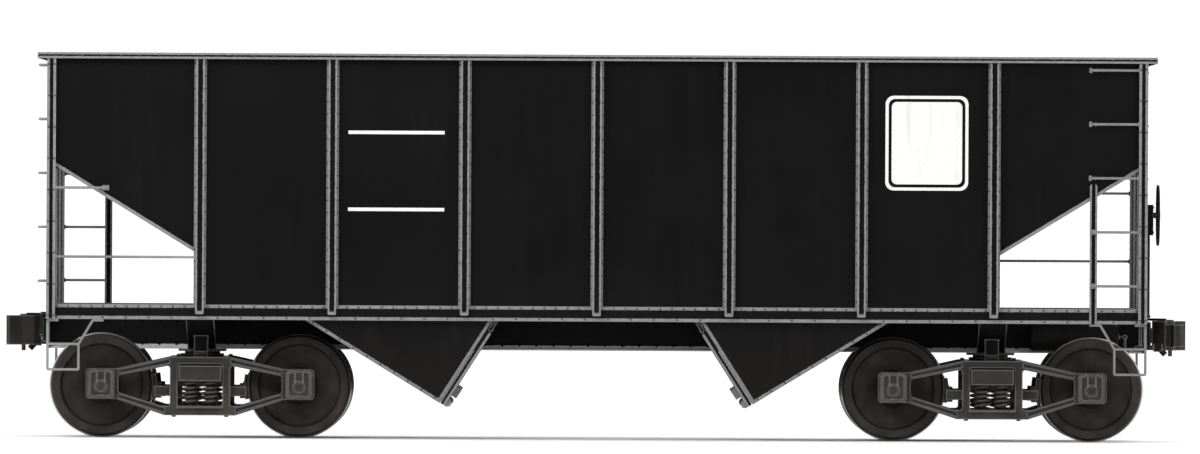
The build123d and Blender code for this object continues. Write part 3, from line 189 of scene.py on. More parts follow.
# Where the rows of rivets run, and their pitches
ROW_PITCH = 0.105  # beside posts and up the ends
FLANGE_ROW = POST_HALF - POST_FLANGE / 2  # from a post's middle
CROWN_ROW = 0.017  # from its middle too, for pairs on the crown
FOOT_PAIR = post_low.z + 0.030
OVER_EDGE = 0.05  # from a lower edge up to the first rivet beside a post
UNDER_CHORD = 0.04  # from the chord down to the last one
EDGE_ROW = 0.017  # from the edge of a sill or chute
SILL_ROWS = (  # height and pitch
    (sill_high.z - EDGE_ROW, 0.098),
    (sill_low.z + EDGE_ROW, 0.196),
)
SILL_REACH = corner_high.x - 0.09
CORNER_ROW = 0.025  # from the middle of a corner post
CORNER_PITCH = 0.26
CORNER_ROW_ENDS = (sill_low.z + 0.03, chord_low.z - 0.05)
CHORD_ROW = (chord_low.z + chord_high.z - CHORD_WALL) / 2
CHORD_PITCH = 0.160
CHORD_CORNER = 0.06  # from a corner of the chords to the first rivet
SEAM_ROW = 0.047  # over the slope sheet's lower face
SEAM_PITCH = 0.075
SEAM_ENDS = (POST_XS[-1] + POST_HALF + 0.03, corner_high.x - 0.11)
END_SHEET_ROW = end_sheet_low.z + 0.045
END_SHEET_PITCH = 0.09
END_SHEET_REACH = 1.33
BORDER_Y = 1.345  # rows up both borders of an end sheet and of a slope sheet
BORDER_ENDS = (END_SHEET_ROW + 0.08, chord_low.z - 0.05)
END_SILL_ROWS = (end_sill_high.z - 0.026, end_sill_low.z + 0.028)
END_SILL_ENDS = (0.32, 1.33)  # beside the striker and by the corner post
END_SILL_PITCH = 0.101
CHUTE_ROW_ENDS = (TIP[1] + EDGE_ROW * cos(SLOPE) + 0.03, sill_low.z - 0.02)
CHUTE_PITCH = 0.135
BOLSTER_ROWS = (TRUCK_X - 0.02, TRUCK_X + 0.02)  # on the slope sheet's lower face
BOLSTER_REACH = 1.30
BOLSTER_PITCH = 0.10
SLOPE_ROW_ENDS = (TIP[0] + 1.75, SLOPE_END[0] - 0.05)
SLOPE_PITCH = 0.12  # along the wagon
WEB_Y = 0.1765  # outer faces of the centre sill
WEB_ROWS = (centre_low.z + 0.045, centre_high.z - 0.075)
WEB_REACH = 4.30
WEB_PITCH = 0.145
DOOR_RIBS = (0.520, 0.780, 1.040)
DOOR_ROW = 0.030  # from the middle of a rib
DOOR_DROPS = [0.120 + 0.105 * i for i in range(6)]  # down the door from the ridge's foot
DOOR_PLATE = 0.016  # outer face, from the plane of the chute's mouth

# Markings on the third and seventh panels of a side
BAR_X = (-2.104, -1.291)
BAR_HEIGHTS = (2.566 + LIFT, 1.916 + LIFT)
BAR_THICK = 0.029
PLATE_MIDDLE = (2.782, 2.498 + LIFT)
PLATE_SIZE = (0.700, 0.800)
PLATE_CORNER = 0.070
PLATE_BORDER = 0.026
PAINT_FILM = 0.0008
LINE_FILM = 0.00128  # of the line on top of the panel's paint

# Grey lines, by their width
LINE = 0.028
CHORD_LINE = 0.018
CORNER_LINE = 0.023
CENTRE_LINE = 0.040
POST_LINE = (0.021, POST_HALF + 0.008)  # start and end from the post's middle
DOOR_LINE = (0.030, 0.120)  # start and end out from the chute's mouth
STILE_BLACK = 0.0155  # half of the black between a stile's lines
PAST_EDGE = 0.010  # how far a line's mask runs on past the edge of its solid

# Colours
BLACK = (0.0019, 0.0019, 0.0022)
RUBBED = (0.150, 0.150, 0.150)
# Painted highlight: the centre sill's grey line is painted lighter, to make up for the shade that the body
# casts on it
SHADED_LINE = (0.420, 0.420, 0.415)  # lighter, where the body keeps the light off
LINE_RIVET_GREY = (0.060, 0.060, 0.060)
DUST = (0.060, 0.052, 0.044)


# Materials
class Look:
    """One material, with short calls for its nodes."""

    def __init__(self, name):
        self.material = bpy.data.materials.new(name)
        self.material.use_nodes = True
        self.nodes = self.material.node_tree.nodes
        self.links = self.material.node_tree.links
        self.shader = self.nodes["Principled BSDF"]
        self.place = self.add("ShaderNodeTexCoord").outputs["Object"]
        self.normal = self.add("ShaderNodeNewGeometry").outputs["Normal"]

    def add(self, kind, **settings):
        node = self.nodes.new(kind)
        for name, value in settings.items():
            setattr(node, name, value)
        return node

    def plug(self, socket, source):
        """Links a source to the socket, or sets a plain value on it."""
        if isinstance(source, bpy.types.NodeSocket):
            self.links.new(source, socket)
        else:
            socket.default_value = source

    def feed(self, node, **sources):
        """Gives each named input a link or a plain value."""
        for name, source in sources.items():
            self.plug(node.inputs[name.replace("_", " ")], source)
        return node

    def noise(self, scale, detail=4.0, stretch=(1, 1, 1)):
        place = self.feed(self.add("ShaderNodeMapping"), Vector=self.place, Scale=stretch)
        node = self.add("ShaderNodeTexNoise")
        self.feed(node, Vector=place.outputs[0], Scale=scale, Detail=detail, Roughness=0.55)
        return node.outputs["Fac"]

    def ramp(self, value, low, high, bottom=0.0, top=1.0):
        """The value stretched from low..high to bottom..top."""
        node = self.add("ShaderNodeMapRange", interpolation_type="SMOOTHSTEP")
        self.feed(node, Value=value, From_Min=low, From_Max=high, To_Min=bottom, To_Max=top)
        return node.outputs[0]

    def math(self, operation, first, second=0.0):
        node = self.add("ShaderNodeMath", operation=operation)
        self.plug(node.inputs[0], first)
        self.plug(node.inputs[1], second)
        return node.outputs[0]

    def vectors(self, operation, first, second):
        """A number worked out from two vectors."""
        node = self.add("ShaderNodeVectorMath", operation=operation)
        self.plug(node.inputs[0], first)
        self.plug(node.inputs[1], second)
        return node.outputs["Value"]

    def mix(self, share, first, second):
        """Colour between first and second."""
        node = self.add("ShaderNodeMix", data_type="RGBA")
        self.plug(node.inputs[0], share)
        for socket, colour in zip(node.inputs[6:8], (first, second)):
            self.plug(socket, (*colour, 1.0) if isinstance(colour, tuple) else colour)
        return node.outputs[2]

    def axis(self, letter):
        """Place along an axis of the wagon."""
        return self.feed(self.add("ShaderNodeSeparateXYZ"), Vector=self.place).outputs[letter]

    def off_middle(self, letter):
        """Distance from the middle of the wagon along an axis."""
        return self.math("ABSOLUTE", self.axis(letter))

    def facing(self, letter):
        """How far the surface faces along an axis, from -1 to 1."""
        return self.feed(self.add("ShaderNodeSeparateXYZ"), Vector=self.normal).outputs[letter]

    def band(self, value, low, high, soft=0.0015):
        """1 where the value lies between low and high."""
        above = self.ramp(value, low - soft, low + soft)
        return self.math("MINIMUM", above, self.ramp(value, high + soft, high - soft))

    def off_line(self, start, end):
        """How far a point lies over the line through two points (x, height), on both halves of the wagon."""
        run = (Vector(end) - Vector(start)).normalized()
        rise = self.math("MULTIPLY", self.math("SUBTRACT", self.axis("Z"), start[1]), run.x)
        along = self.math("SUBTRACT", self.off_middle("X"), start[0])
        return self.math("SUBTRACT", rise, self.math("MULTIPLY", along, run.y))

    def wandering(self, value, wander, reach=0.012):
        """The value shifted to and fro, so that a line's border wanders."""
        shift = self.math("MULTIPLY", self.math("SUBTRACT", wander, 0.5), reach)
        return self.math("ADD", value, shift)

    def edges(self, width, wander):
        """1 along the hard edges, about width wide, with a wandering border."""
        bevel = self.feed(self.add("ShaderNodeBevel", samples=6), Radius=width * 1.6)
        bent = self.math("SUBTRACT", 1.0, self.vectors("DOT_PRODUCT", bevel.outputs[0], self.normal))
        shifted = self.math("ADD", bent, self.math("MULTIPLY", wander, 0.05))
        return self.ramp(shifted, 0.045, 0.060)

    def surface(self, colour, roughness, bump, depth, round_edge=0.004):
        """Links colour, roughness and bumps to the shader, over slightly rounded edges."""
        rounded_normal = self.feed(self.add("ShaderNodeBevel", samples=4), Radius=round_edge).outputs[0]
        bumps = self.add("ShaderNodeBump")
        self.feed(bumps, Height=bump, Distance=depth, Strength=0.6, Normal=rounded_normal)
        self.feed(self.shader, Base_Color=colour, Roughness=roughness, Normal=bumps.outputs[0])
        return self.material


# Masks of the grey lines, each for one kind of solid
def slope_line(look, wander):
    """The cut edge of the end panels, over the slope sheet."""
    line = look.band(look.wandering(look.off_line(TIP, SLOPE_END), wander), -PAST_EDGE, LINE)
    end_bay = look.ramp(look.off_middle("X"), POST_XS[-1], POST_XS[-1] + 0.004)
    return look.math("MULTIPLY", line, end_bay)


def post_lines(look, wander):
    """Both edges of each side post, and round its foot."""
    from_post = look.wandering(look.math("PINGPONG", look.axis("X"), POST_PITCH / 2), wander)
    foot_end = post_low.z + LINE
    foot = look.ramp(look.wandering(look.axis("Z"), wander), foot_end, foot_end - 0.003)
    return look.math("MAXIMUM", look.band(from_post, *POST_LINE), foot)


def rail_lines(look, wander):
    """Along the upper and lower edge of each chord and side sill, on the upright faces."""
    height = look.wandering(look.axis("Z"), wander, 0.008)
    mask = 0.0
    for low, high, width in ((sill_low.z, sill_high.z, LINE), (chord_low.z, chord_high.z, CHORD_LINE)):
        for start, end in ((low - PAST_EDGE, low + width), (high - width, high + PAST_EDGE)):
            mask = look.math("MAXIMUM", look.band(height, start, end), mask)
    upright = look.ramp(look.math("ABSOLUTE", look.facing("Z")), 0.8, 0.6)
    return look.math("MULTIPLY", mask, upright)


def corner_lines(look, wander):
    """Down both edges of each corner post, on the faces to the side."""
    along = look.wandering(look.off_middle("X"), wander, 0.008)
    outer_edge, inner_edge = corner_high.x, corner_high.x - CORNER_WIDTH
    outer = look.band(along, outer_edge - CORNER_LINE, outer_edge + PAST_EDGE)
    inner = look.band(along, inner_edge - PAST_EDGE, inner_edge + CORNER_LINE)
    sideways = look.ramp(look.math("ABSOLUTE", look.facing("Y")), 0.6, 0.8)
    return look.math("MULTIPLY", look.math("MAXIMUM", outer, inner), sideways)


def stile_lines(look, wander):
    """Irons and pads grey all over, and the stile along both edges."""
    irons = look.ramp(look.off_middle("Y"), STILE_FACE, STILE_FACE + 0.001)
    from_stile = look.math("ABSOLUTE", look.math("SUBTRACT", look.off_middle("X"), LADDER_X))
    edge = look.ramp(look.wandering(from_stile, wander, 0.006), STILE_BLACK - 0.001, STILE_BLACK + 0.001)
    return look.math("MAXIMUM", irons, edge)


def chute_lines(look, wander):
    """Along the slope sheet and along the door."""
    slope = look.band(look.wandering(look.off_line(TIP, SLOPE_END), wander), -PAST_EDGE, LINE)
    door = look.band(look.wandering(look.off_line(TIP, RIDGE_FOOT), wander), -LINE, PAST_EDGE)
    return look.math("MAXIMUM", slope, door)


def door_lines(look, wander):
    """Along the outer edge of a hopper door."""
    return look.band(look.wandering(look.off_line(TIP, RIDGE_FOOT), wander, 0.006), *DOOR_LINE)


def centre_lines(look, wander):
    """Along the centre sill's lower flange."""
    height = look.wandering(look.axis("Z"), wander)
    return look.band(height, centre_low.z - PAST_EDGE, centre_low.z + CENTRE_LINE)


# Masks of the faces that the load touches
def side_inside(look):
    """1 on the inner faces of the side sheets."""
    return look.ramp(look.off_middle("Y"), INSIDE_HALF + 0.0015, INSIDE_HALF + 0.0005)


def end_inside(look):
    """1 on the inner faces of the end sheets."""
    return look.ramp(look.off_middle("X"), INSIDE_END + 0.0015, INSIDE_END + 0.0005)


def chute_inside(look):
    """1 on the faces of the chutes that the load slides down."""
    leaning = look.ramp(look.facing("Z"), 0.02, 0.06)
    outward = look.ramp(look.math("MULTIPLY", look.facing("Y"), look.axis("Y")), 0.05, 0.10)
    by_sill = look.ramp(look.off_middle("Y"), INNER_CHUTE_Y + 0.15, INNER_CHUTE_Y + 0.10)
    return look.math("MAXIMUM", leaning, look.math("MINIMUM", outward, by_sill))


def below_rim(look):
    """1 below a strip of paint that is left under the top chord."""
    height = look.wandering(look.axis("Z"), look.noise(5.0, 5.0), 0.35)
    return look.ramp(height, chord_low.z - 0.05, chord_low.z - 0.22)


def scuffed(look):
    """Colour of paint that the load has scuffed downward, with brown in the lulls."""
    scuffs = look.ramp(look.noise(26.0, 5.0, (1.0, 1.0, 0.14)), 0.35, 0.80)
    worn = look.mix(scuffs, (0.024, 0.0225, 0.021), (0.052, 0.049, 0.046))
    brown = look.ramp(look.noise(1.5, 7.0), 0.42, 0.72, 0.0, 0.5)
    return look.mix(brown, worn, (0.044, 0.032, 0.025))


def black_paint(name, paint=BLACK, edge_width=0.0, rough=0.42, dust_share=0.06, lines=None, line_grey=RUBBED,
                inside=None):
    """Enamel with rain streaks and road dust low down. Its edges and lines are rubbed to grey; a lighter
    line_grey is a painted highlight on a line that lies in shade.
    """
    look = Look(name)
    wander = look.noise(38.0, 3.0)
    streaks = look.ramp(look.noise(9.0, 5.0, (1.0, 1.0, 0.07)), 0.45, 0.80)
    clouds = look.ramp(look.noise(1.3, 5.0), 0.35, 0.75)
    low_down = look.ramp(look.axis("Z"), 1.6, 0.2)
    dust = look.math("ADD", look.math("MULTIPLY", streaks, 0.4), low_down)
    dust = look.math("MULTIPLY", dust, dust_share)
    colour = look.mix(clouds, paint, tuple(c * 1.6 for c in paint))
    colour = look.mix(dust, colour, DUST)
    if edge_width or lines:
        rubbed = look.edges(edge_width, wander) if edge_width else 0.0
        if lines:
            rubbed = look.math("MAXIMUM", lines(look, wander), rubbed)
        shade = look.ramp(look.noise(21.0), 0.3, 0.7)
        grey = look.mix(shade, line_grey, tuple(c * 1.25 for c in line_grey))
        colour = look.mix(rubbed, colour, grey)
    if inside:
        bare = look.math("MULTIPLY", inside(look), below_rim(look))
        colour = look.mix(bare, colour, scuffed(look))
    roughness = look.ramp(clouds, 0.0, 1.0, rough, rough + 0.14)
    roughness = look.math("ADD", roughness, look.math("MULTIPLY", dust, 0.6))
    look.feed(look.shader, Specular_IOR_Level=0.05)
    orange_peel = look.noise(160.0, 2.0)
    return look.surface(colour, roughness, orange_peel, 0.0006)


def scoured_steel(name):
    """Plate that loads rub: dark steel, with scratches and with rust in the lulls, painted black below."""
    look = Look(name)
    grain = look.noise(70.0, 6.0)
    rust = look.ramp(look.noise(2.2, 7.0, (1, 1, 1.6)), 0.42, 0.68)
    scratches = look.ramp(look.noise(46.0, 4.0, (0.12, 1.6, 0.12)), 0.60, 0.74)
    steel = look.mix(grain, (0.040, 0.037, 0.034), (0.085, 0.079, 0.073))
    steel = look.mix(look.math("MULTIPLY", rust, 0.60), steel, (0.070, 0.044, 0.030))
    steel = look.mix(look.math("MULTIPLY", scratches, 0.55), steel, (0.22, 0.215, 0.21))
    upper = look.ramp(look.facing("Z"), -0.06, -0.02)
    colour = look.mix(upper, look.mix(grain, BLACK, (0.006, 0.0055, 0.005)), steel)
    look.feed(look.shader, Metallic=look.math("MULTIPLY", upper, 0.35), Specular_IOR_Level=0.20)
    change = look.math("MULTIPLY", upper, look.ramp(rust, 0.0, 1.0, -0.18, 0.20))
    return look.surface(colour, look.math("ADD", 0.60, change), grain, 0.0012)


def cast_steel(name):
    """Sand-cast steel under oily dust, with a coarse skin."""
    look = Look(name)
    rubbed = look.edges(0.012, look.noise(30.0, 3.0))
    clouds = look.ramp(look.noise(3.0, 6.0), 0.35, 0.7)
    colour = look.mix(clouds, (0.010, 0.0095, 0.009), (0.024, 0.020, 0.017))
    low_down, patches = look.ramp(look.axis("Z"), 0.75, 0.15), look.ramp(look.noise(6.0, 5.0), 0.3, 0.7)
    dust = look.math("MULTIPLY", low_down, patches)
    colour = look.mix(look.math("MULTIPLY", dust, 0.50), colour, DUST)
    colour = look.mix(look.math("MULTIPLY", rubbed, 0.75), colour, (0.135, 0.132, 0.130))
    look.feed(look.shader, Specular_IOR_Level=0.20)
    coarse = look.noise(240.0, 3.0)
    return look.surface(colour, look.ramp(clouds, 0.0, 1.0, 0.52, 0.78), coarse, 0.0012, 0.006)


def wheel_steel(name, centre, radius):
    """Rust-brown wheel with a tread that the rail keeps bright."""
    look = Look(name)
    flat = look.feed(look.add("ShaderNodeCombineXYZ"), X=look.axis("X"), Z=look.axis("Z"))
    from_axle = look.vectors("DISTANCE", flat.outputs[0], (centre.x, 0.0, centre.z))
    bright = look.ramp(from_axle, radius - 0.014, radius - 0.009)
    rust = look.mix(look.ramp(look.noise(7.0, 6.0), 0.35, 0.7), (0.014, 0.0125, 0.011), (0.030, 0.024, 0.020))
    rust = look.mix(look.ramp(from_axle, 0.30, 0.10, 0.0, 0.6), rust, (0.009, 0.0085, 0.008))
    colour = look.mix(bright, rust, (0.40, 0.39, 0.38))
    look.feed(look.shader, Metallic=bright, Specular_IOR_Level=0.20)
    return look.surface(colour, look.ramp(bright, 0.0, 1.0, 0.72, 0.24), look.noise(90.0, 5.0), 0.0007)


def plain_steel(name, base, worn, roughness, metallic):
    """Forged or turned steel with a film of oil and rust."""
    look = Look(name)
    rust = look.ramp(look.noise(11.0, 6.0), 0.40, 0.70)
    look.feed(look.shader, Metallic=metallic)
    rough = look.ramp(rust, 0.0, 1.0, roughness, roughness + 0.25)
    return look.surface(look.mix(rust, base, worn), rough, look.noise(150.0), 0.0005, 0.003)


def white_paint(name):
    """Brushed-on white, thin in places, with streaks of soot."""
    look = Look(name)
    soot = look.ramp(look.noise(14.0, 5.0, (1.0, 1.0, 0.12)), 0.52, 0.85)
    thin = look.ramp(look.noise(60.0, 5.0), 0.60, 0.74)
    colour = look.mix(look.math("MULTIPLY", soot, 0.45), (0.600, 0.600, 0.585), (0.30, 0.285, 0.27))
    colour = look.mix(look.math("MULTIPLY", thin, 0.30), colour, (0.12, 0.12, 0.12))
    return look.surface(colour, look.ramp(soot, 0.0, 1.0, 0.42, 0.6), look.noise(300.0, 2.0), 0.0002, 0.001)


def floor_paint(name):
    """Pale floor with a breath of variation."""
    look = Look(name)
    colour = look.mix(look.noise(0.35, 5.0), (0.88, 0.88, 0.875), (0.93, 0.93, 0.93))
    look.feed(look.shader, Base_Color=colour, Roughness=look.ramp(look.noise(2.0), 0.0, 1.0, 0.72, 0.86))
    return look.material


BLACK_PAINTS = {
    "body_paint": {"edge_width": 0.016},
    "rail_paint": {"edge_width": 0.008, "lines": rail_lines},
    "corner_paint": {"edge_width": 0.008, "lines": corner_lines},
    "side_paint": {"lines": slope_line, "inside": side_inside},
    "end_paint": {"inside": end_inside},
    "post_paint": {"lines": post_lines},
    "chute_paint": {"rough": 0.50, "dust_share": 0.10, "lines": chute_lines, "inside": chute_inside},
    # the centre sill's line takes the painted highlight colour, lighter against the shade under the body
    "centre_paint": {"rough": 0.50, "dust_share": 0.12, "lines": centre_lines, "line_grey": SHADED_LINE},
    "frame_paint": {"rough": 0.52, "dust_share": 0.16, "edge_width": 0.012},
    "door_paint": {"rough": 0.48, "dust_share": 0.10, "lines": door_lines},
    "rivet_paint": {"rough": 0.46, "dust_share": 0.08},
    "line_rivet_paint": {"rough": 0.46, "dust_share": 0.08, "paint": LINE_RIVET_GREY},
    "ladder_paint": {"rough": 0.50, "dust_share": 0.04, "lines": stile_lines},
    "iron_paint": {"rough": 0.50, "dust_share": 0.03, "paint": RUBBED},
    "end_iron_paint": {"rough": 0.46, "dust_share": 0.05, "edge_width": 0.006},
}
LOOKS = {name: black_paint(name, **changes) for name, changes in BLACK_PAINTS.items()}
LOOKS["inner_steel"] = scoured_steel("inner_steel")
LOOKS["cast_steel"] = cast_steel("cast_steel")
LOOKS["axle_steel"] = plain_steel("axle_steel", (0.040, 0.036, 0.033), (0.062, 0.048, 0.038), 0.50, 0.40)
LOOKS["spring_steel"] = plain_steel("spring_steel", (0.034, 0.032, 0.031), (0.060, 0.049, 0.042), 0.46, 0.45)
LOOKS["marking_paint"] = white_paint("marking_paint")

NODE_LOOKS = {
    "side_paint": "side_sheets_left side_sheets_right",
    "post_paint": "side_posts_left side_posts_right",
    "body_paint": "end_posts",
    "end_paint": "end_sheets",
    "rail_paint": "side_chords end_chords side_sills end_sills",
    "corner_paint": "corner_posts",
    "chute_paint": "chute_sides",
    "centre_paint": "centre_sill",
    "frame_paint": "centre_plates bolsters bolster_saddles crossbearer door_hinges strikers brake_pipe "
                   "brake_cylinder air_reservoir",
    "door_paint": "doors_a doors_b",
    "ladder_paint": "side_ladders",
    "iron_paint": "grab_irons stirrups end_ladders",
    "end_iron_paint": "uncoupling_rods hand_brake",
    "inner_steel": "slope_sheets_a slope_sheets_b ridge_sheets sill_hoods",
    "cast_steel": "side_frames_a side_frames_b truck_bolster_a truck_bolster_b brake_beams_a brake_beams_b "
                  "couplers knuckles",
    "spring_steel": "springs_a springs_b",
    "axle_steel": "axle_a1 axle_a2 axle_b1 axle_b2",
}
WHEELS = ("wheels_a1", "wheels_a2", "wheels_b1", "wheels_b2")


def dress(node, material):
    """Gives a solid its material."""
    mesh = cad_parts[node].data
    mesh.materials.clear()
    mesh.materials.append(material)


def dress_solids():
    for name, nodes in NODE_LOOKS.items():
        for node in nodes.split():
            dress(node, LOOKS[name])
    for wheels in WHEELS:
        low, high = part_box(wheels)
        dress(wheels, wheel_steel("wheel_steel_" + wheels[-2:], (low + high) / 2, high.z / 2))


# Shapes: each is a pair of points and faces
def join(parts):
    points, faces = [], []
    for part_points, part_faces in parts:
        start = len(points)
        points += part_points
        faces += [[start + i for i in face] for face in part_faces]
    return points, faces


def make(name, parts, slot, body="car_body", smooth=False, look=None):
    """One mesh of many shapes, on its body and with its material."""
    points, faces = join(parts)
    mesh = bpy.data.meshes.new(name)
    mesh.from_pydata(points, [], faces)
    mesh.update()
    if smooth:
        mesh.polygons.foreach_set("use_smooth", [True] * len(mesh.polygons))
    mesh.materials.append(LOOKS[look or slot])
    piece = bpy.data.objects.new(name, mesh)
    bpy.context.scene.collection.objects.link(piece)
    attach(piece, body)
    return piece


def across(normal):
    """Two directions square to the normal and to each other."""
    first = normal.cross(X if abs(normal.x) < 0.8 else Y).normalized()
    return first, normal.cross(first)


def ring(middle, normal, radius, sides, turn=0.0):
    u, v = across(normal)
    angles = [turn + tau * i / sides for i in range(sides)]
    return [middle + radius * (cos(angle) * u + sin(angle) * v) for angle in angles]


def bands(rings, closed=False):
    """Faces between rings of as many points each."""
    sides = len(rings[0])
    pairs = list(zip(range(len(rings)), range(1, len(rings))))
    if closed:
        pairs.append((len(rings) - 1, 0))
    faces = []
    for low, high in pairs:
        for i in range(sides):
            j = (i + 1) % sides
            faces.append([low * sides + i, low * sides + j, high * sides + j, high * sides + i])
    return [point for one in rings for point in one], faces


def turned(place, normal, profile, sides):
    """A form turned from pairs of height and radius, with a flat top."""
    rings = [ring(place + normal * height, normal, radius, sides) for height, radius in profile]
    points, faces = bands(rings)
    last = len(points) - sides
    return points, faces + [list(range(last, last + sides))]


def rivet(place, normal, size):
    """A button head."""
    radius, height = size
    rings = [ring(place + normal * height * h, normal, radius * r, DOME_SIDES) for h, r in DOME]
    points, faces = bands(rings)
    last, top = len(points) - DOME_SIDES, len(points)
    points.append(place + normal * height)
    return points, faces + [[last + i, last + (i + 1) % DOME_SIDES, top] for i in range(DOME_SIDES)]


def bolt(place, normal, size):
    """A hexagon head on a washer."""
    radius, height = size
    washer = ((0.0, radius * 1.25), (height * 0.2, radius * 1.25))
    head = ((height * 0.2, radius), (height * 0.85, radius), (height, radius * 0.86))
    return join([turned(place, normal, washer, WASHER_SIDES), turned(place, normal, head, HEX)])


def tube(path, radius, sides=12, closed=False):
    """A round bar along a path, with flat ends."""
    count = len(path)
    rings = []
    before = None
    for i, point in enumerate(path):
        ahead = path[(i + 1) % count] if closed or i + 1 < count else point
        behind = path[i - 1] if closed or i > 0 else point
        direction = (ahead - behind).normalized()
        if before is None:
            u = across(direction)[0]
        else:
            u = (before - direction * before.dot(direction)).normalized()
        before = u
        v = direction.cross(u)
        angles = [tau * k / sides for k in range(sides)]
        rings.append([point + radius * (cos(angle) * u + sin(angle) * v) for angle in angles])
    points, faces = bands(rings, closed)
    if not closed:
        faces.append(list(range(sides))[::-1])
        faces.append([(count - 1) * sides + k for k in range(sides)])
    return points, faces


def bar(middle, way, size, sides=12):
    """A straight round bar, from its half length and radius."""
    half_length, radius = size
    return tube([middle - way * half_length, middle + way * half_length], radius, sides)


def pin(foot, size, sides=12):
    """An upright round pin, from the heights of its ends over its foot and its radius."""
    low, high, radius = size
    return tube([foot + Z * low, foot + Z * high], radius, sides)


def slab(outline, rise):
    """A flat outline made solid by the vector rise."""
    count = len(outline)
    points = list(outline) + [point + rise for point in outline]
    faces = [list(range(count))[::-1], list(range(count, 2 * count))]
    for i in range(count):
        j = (i + 1) % count
        faces.append([i, j, count + j, count + i])
    return points, faces


def block(middle, size):
    """A box round its middle."""
    low, high = middle - Vector(size) / 2, middle + Vector(size) / 2
    corners = ((low.x, low.y), (high.x, low.y), (high.x, high.y), (low.x, high.y))
    return slab([Vector((x, y, low.z)) for x, y in corners], Z * size[2])


# Places: each is a pair of a point and the direction that it faces
def row(start, end, pitch, normal):
    """Places from start to end, about a pitch apart."""
    start, end = Vector(start), Vector(end)
    count = max(1, round((end - start).length / pitch))
    return [(start.lerp(end, i / count), normal) for i in range(count + 1)]


def with_mirror(places, flip):
    return places + [(point * flip, normal * flip) for point, normal in places]


def on_both_sides(places):
    return with_mirror(places, Vector((1, -1, 1)))


def at_both_ends(places):
    return with_mirror(places, Vector((-1, 1, 1)))


def clear_of_posts(places):
    """The places that lie beside the side posts, not on them."""
    return [place for place in places if min(abs(place[0].x - x) for x in POST_XS) > POST_HALF]


def over_slope(x, gap):
    """Height at x, a gap over the slope sheet's lower face."""
    return TIP[1] + (x - TIP[0]) * tan(SLOPE) + gap / cos(SLOPE)


def rivets(name, places, size, slot="body_paint", look="line_rivet_paint", body="car_body"):
    """One mesh of button heads."""
    shapes = [rivet(point, normal, size) for point, normal in places]
    make(name, shapes, slot, body, smooth=True, look=look)


# Rivets of the load box
def post_rivets():
    """Down both flanges of each side post, and pairs through its foot and through the chord above it."""
    places = []
    face = sheet_low.y - POST_WALL
    for x in POST_XS:
        for side in (-1, 1):
            flange_x, crown_x = x + side * FLANGE_ROW, x + side * CROWN_ROW
            bottom = (flange_x, face, sill_high.z + OVER_EDGE)
            places += row(bottom, (flange_x, face, chord_low.z - UNDER_CHORD), ROW_PITCH, -Y)
            places.append((Vector((crown_x, post_low.y, FOOT_PAIR)), -Y))
            places.append((Vector((crown_x, chord_low.y, CHORD_ROW)), -Y))
    return on_both_sides(places)


def sill_rivets():
    """Along the side sill, clear of the posts, and up the corner posts."""
    places = []
    for height, pitch in SILL_ROWS:
        left, right = (-SILL_REACH, sill_low.y, height), (SILL_REACH, sill_low.y, height)
        places += clear_of_posts(row(left, right, pitch, -Y))
    corner_x = corner_high.x - CORNER_WIDTH / 2
    bottom, top = CORNER_ROW_ENDS
    for x in (corner_x - CORNER_ROW, corner_x + CORNER_ROW):
        places += at_both_ends(row((x, corner_low.y, bottom), (x, corner_low.y, top), CORNER_PITCH, -Y))
    return on_both_sides(places)


def chord_rivets():
    """Along the chord's dropped leg, clear of the posts' pairs."""
    reach_x, reach_y = chord_high.x - CHORD_CORNER, chord_high.y - CHORD_CORNER
    side = row((-reach_x, chord_low.y, CHORD_ROW), (reach_x, chord_low.y, CHORD_ROW), CHORD_PITCH, -Y)
    end = row((chord_high.x, -reach_y, CHORD_ROW), (chord_high.x, reach_y, CHORD_ROW), CHORD_PITCH, X)
    return on_both_sides(clear_of_posts(side)) + at_both_ends(end)


def slope_seam_rivets():
    """Along the cut edge of the end panels, over the slope sheet."""
    near, far = [(x, sheet_low.y, over_slope(x, SEAM_ROW)) for x in SEAM_ENDS]
    return on_both_sides(at_both_ends(row(near, far, SEAM_PITCH, -Y)))


def end_rivets():
    """The end posts' flanges, the end sheet's border and the end sill."""
    places = []
    face = end_sheet_high.x
    bottom, top = BORDER_ENDS
    inner, outer = END_SILL_ENDS
    for y in (END_POST_Y - FLANGE_ROW, END_POST_Y + FLANGE_ROW):
        foot = (face + POST_WALL, y, end_sheet_low.z + OVER_EDGE)
        places += row(foot, (face + POST_WALL, y, chord_low.z - UNDER_CHORD), ROW_PITCH, X)
    places += row((face, BORDER_Y, bottom), (face, BORDER_Y, top), ROW_PITCH, X)
    for height in END_SILL_ROWS:
        start, end = (end_sill_high.x, inner, height), (end_sill_high.x, outer, height)
        places += row(start, end, END_SILL_PITCH, X)
    places = on_both_sides(places)
    left, right = (face, -END_SHEET_REACH, END_SHEET_ROW), (face, END_SHEET_REACH, END_SHEET_ROW)
    for point, normal in row(left, right, END_SHEET_PITCH, X):
        if abs(abs(point.y) - END_POST_Y) > POST_HALF:
            places.append((point, normal))
    return at_both_ends(places)


def chute_rivets():
    """On the leaning sides of the chutes, along the slope sheet's edge."""
    def on_side(height):
        x = TIP[0] + (height - TIP[1] - EDGE_ROW / cos(SLOPE)) / tan(SLOPE)
        return Vector((x, -CHUTE_FOOT_Y - (height - TIP[1]) * CHUTE_LEAN, height))

    out = Vector((0, -1, -CHUTE_LEAN)).normalized()
    bottom, top = [on_side(height) for height in CHUTE_ROW_ENDS]
    return on_both_sides(at_both_ends(row(bottom, top, CHUTE_PITCH, out)))


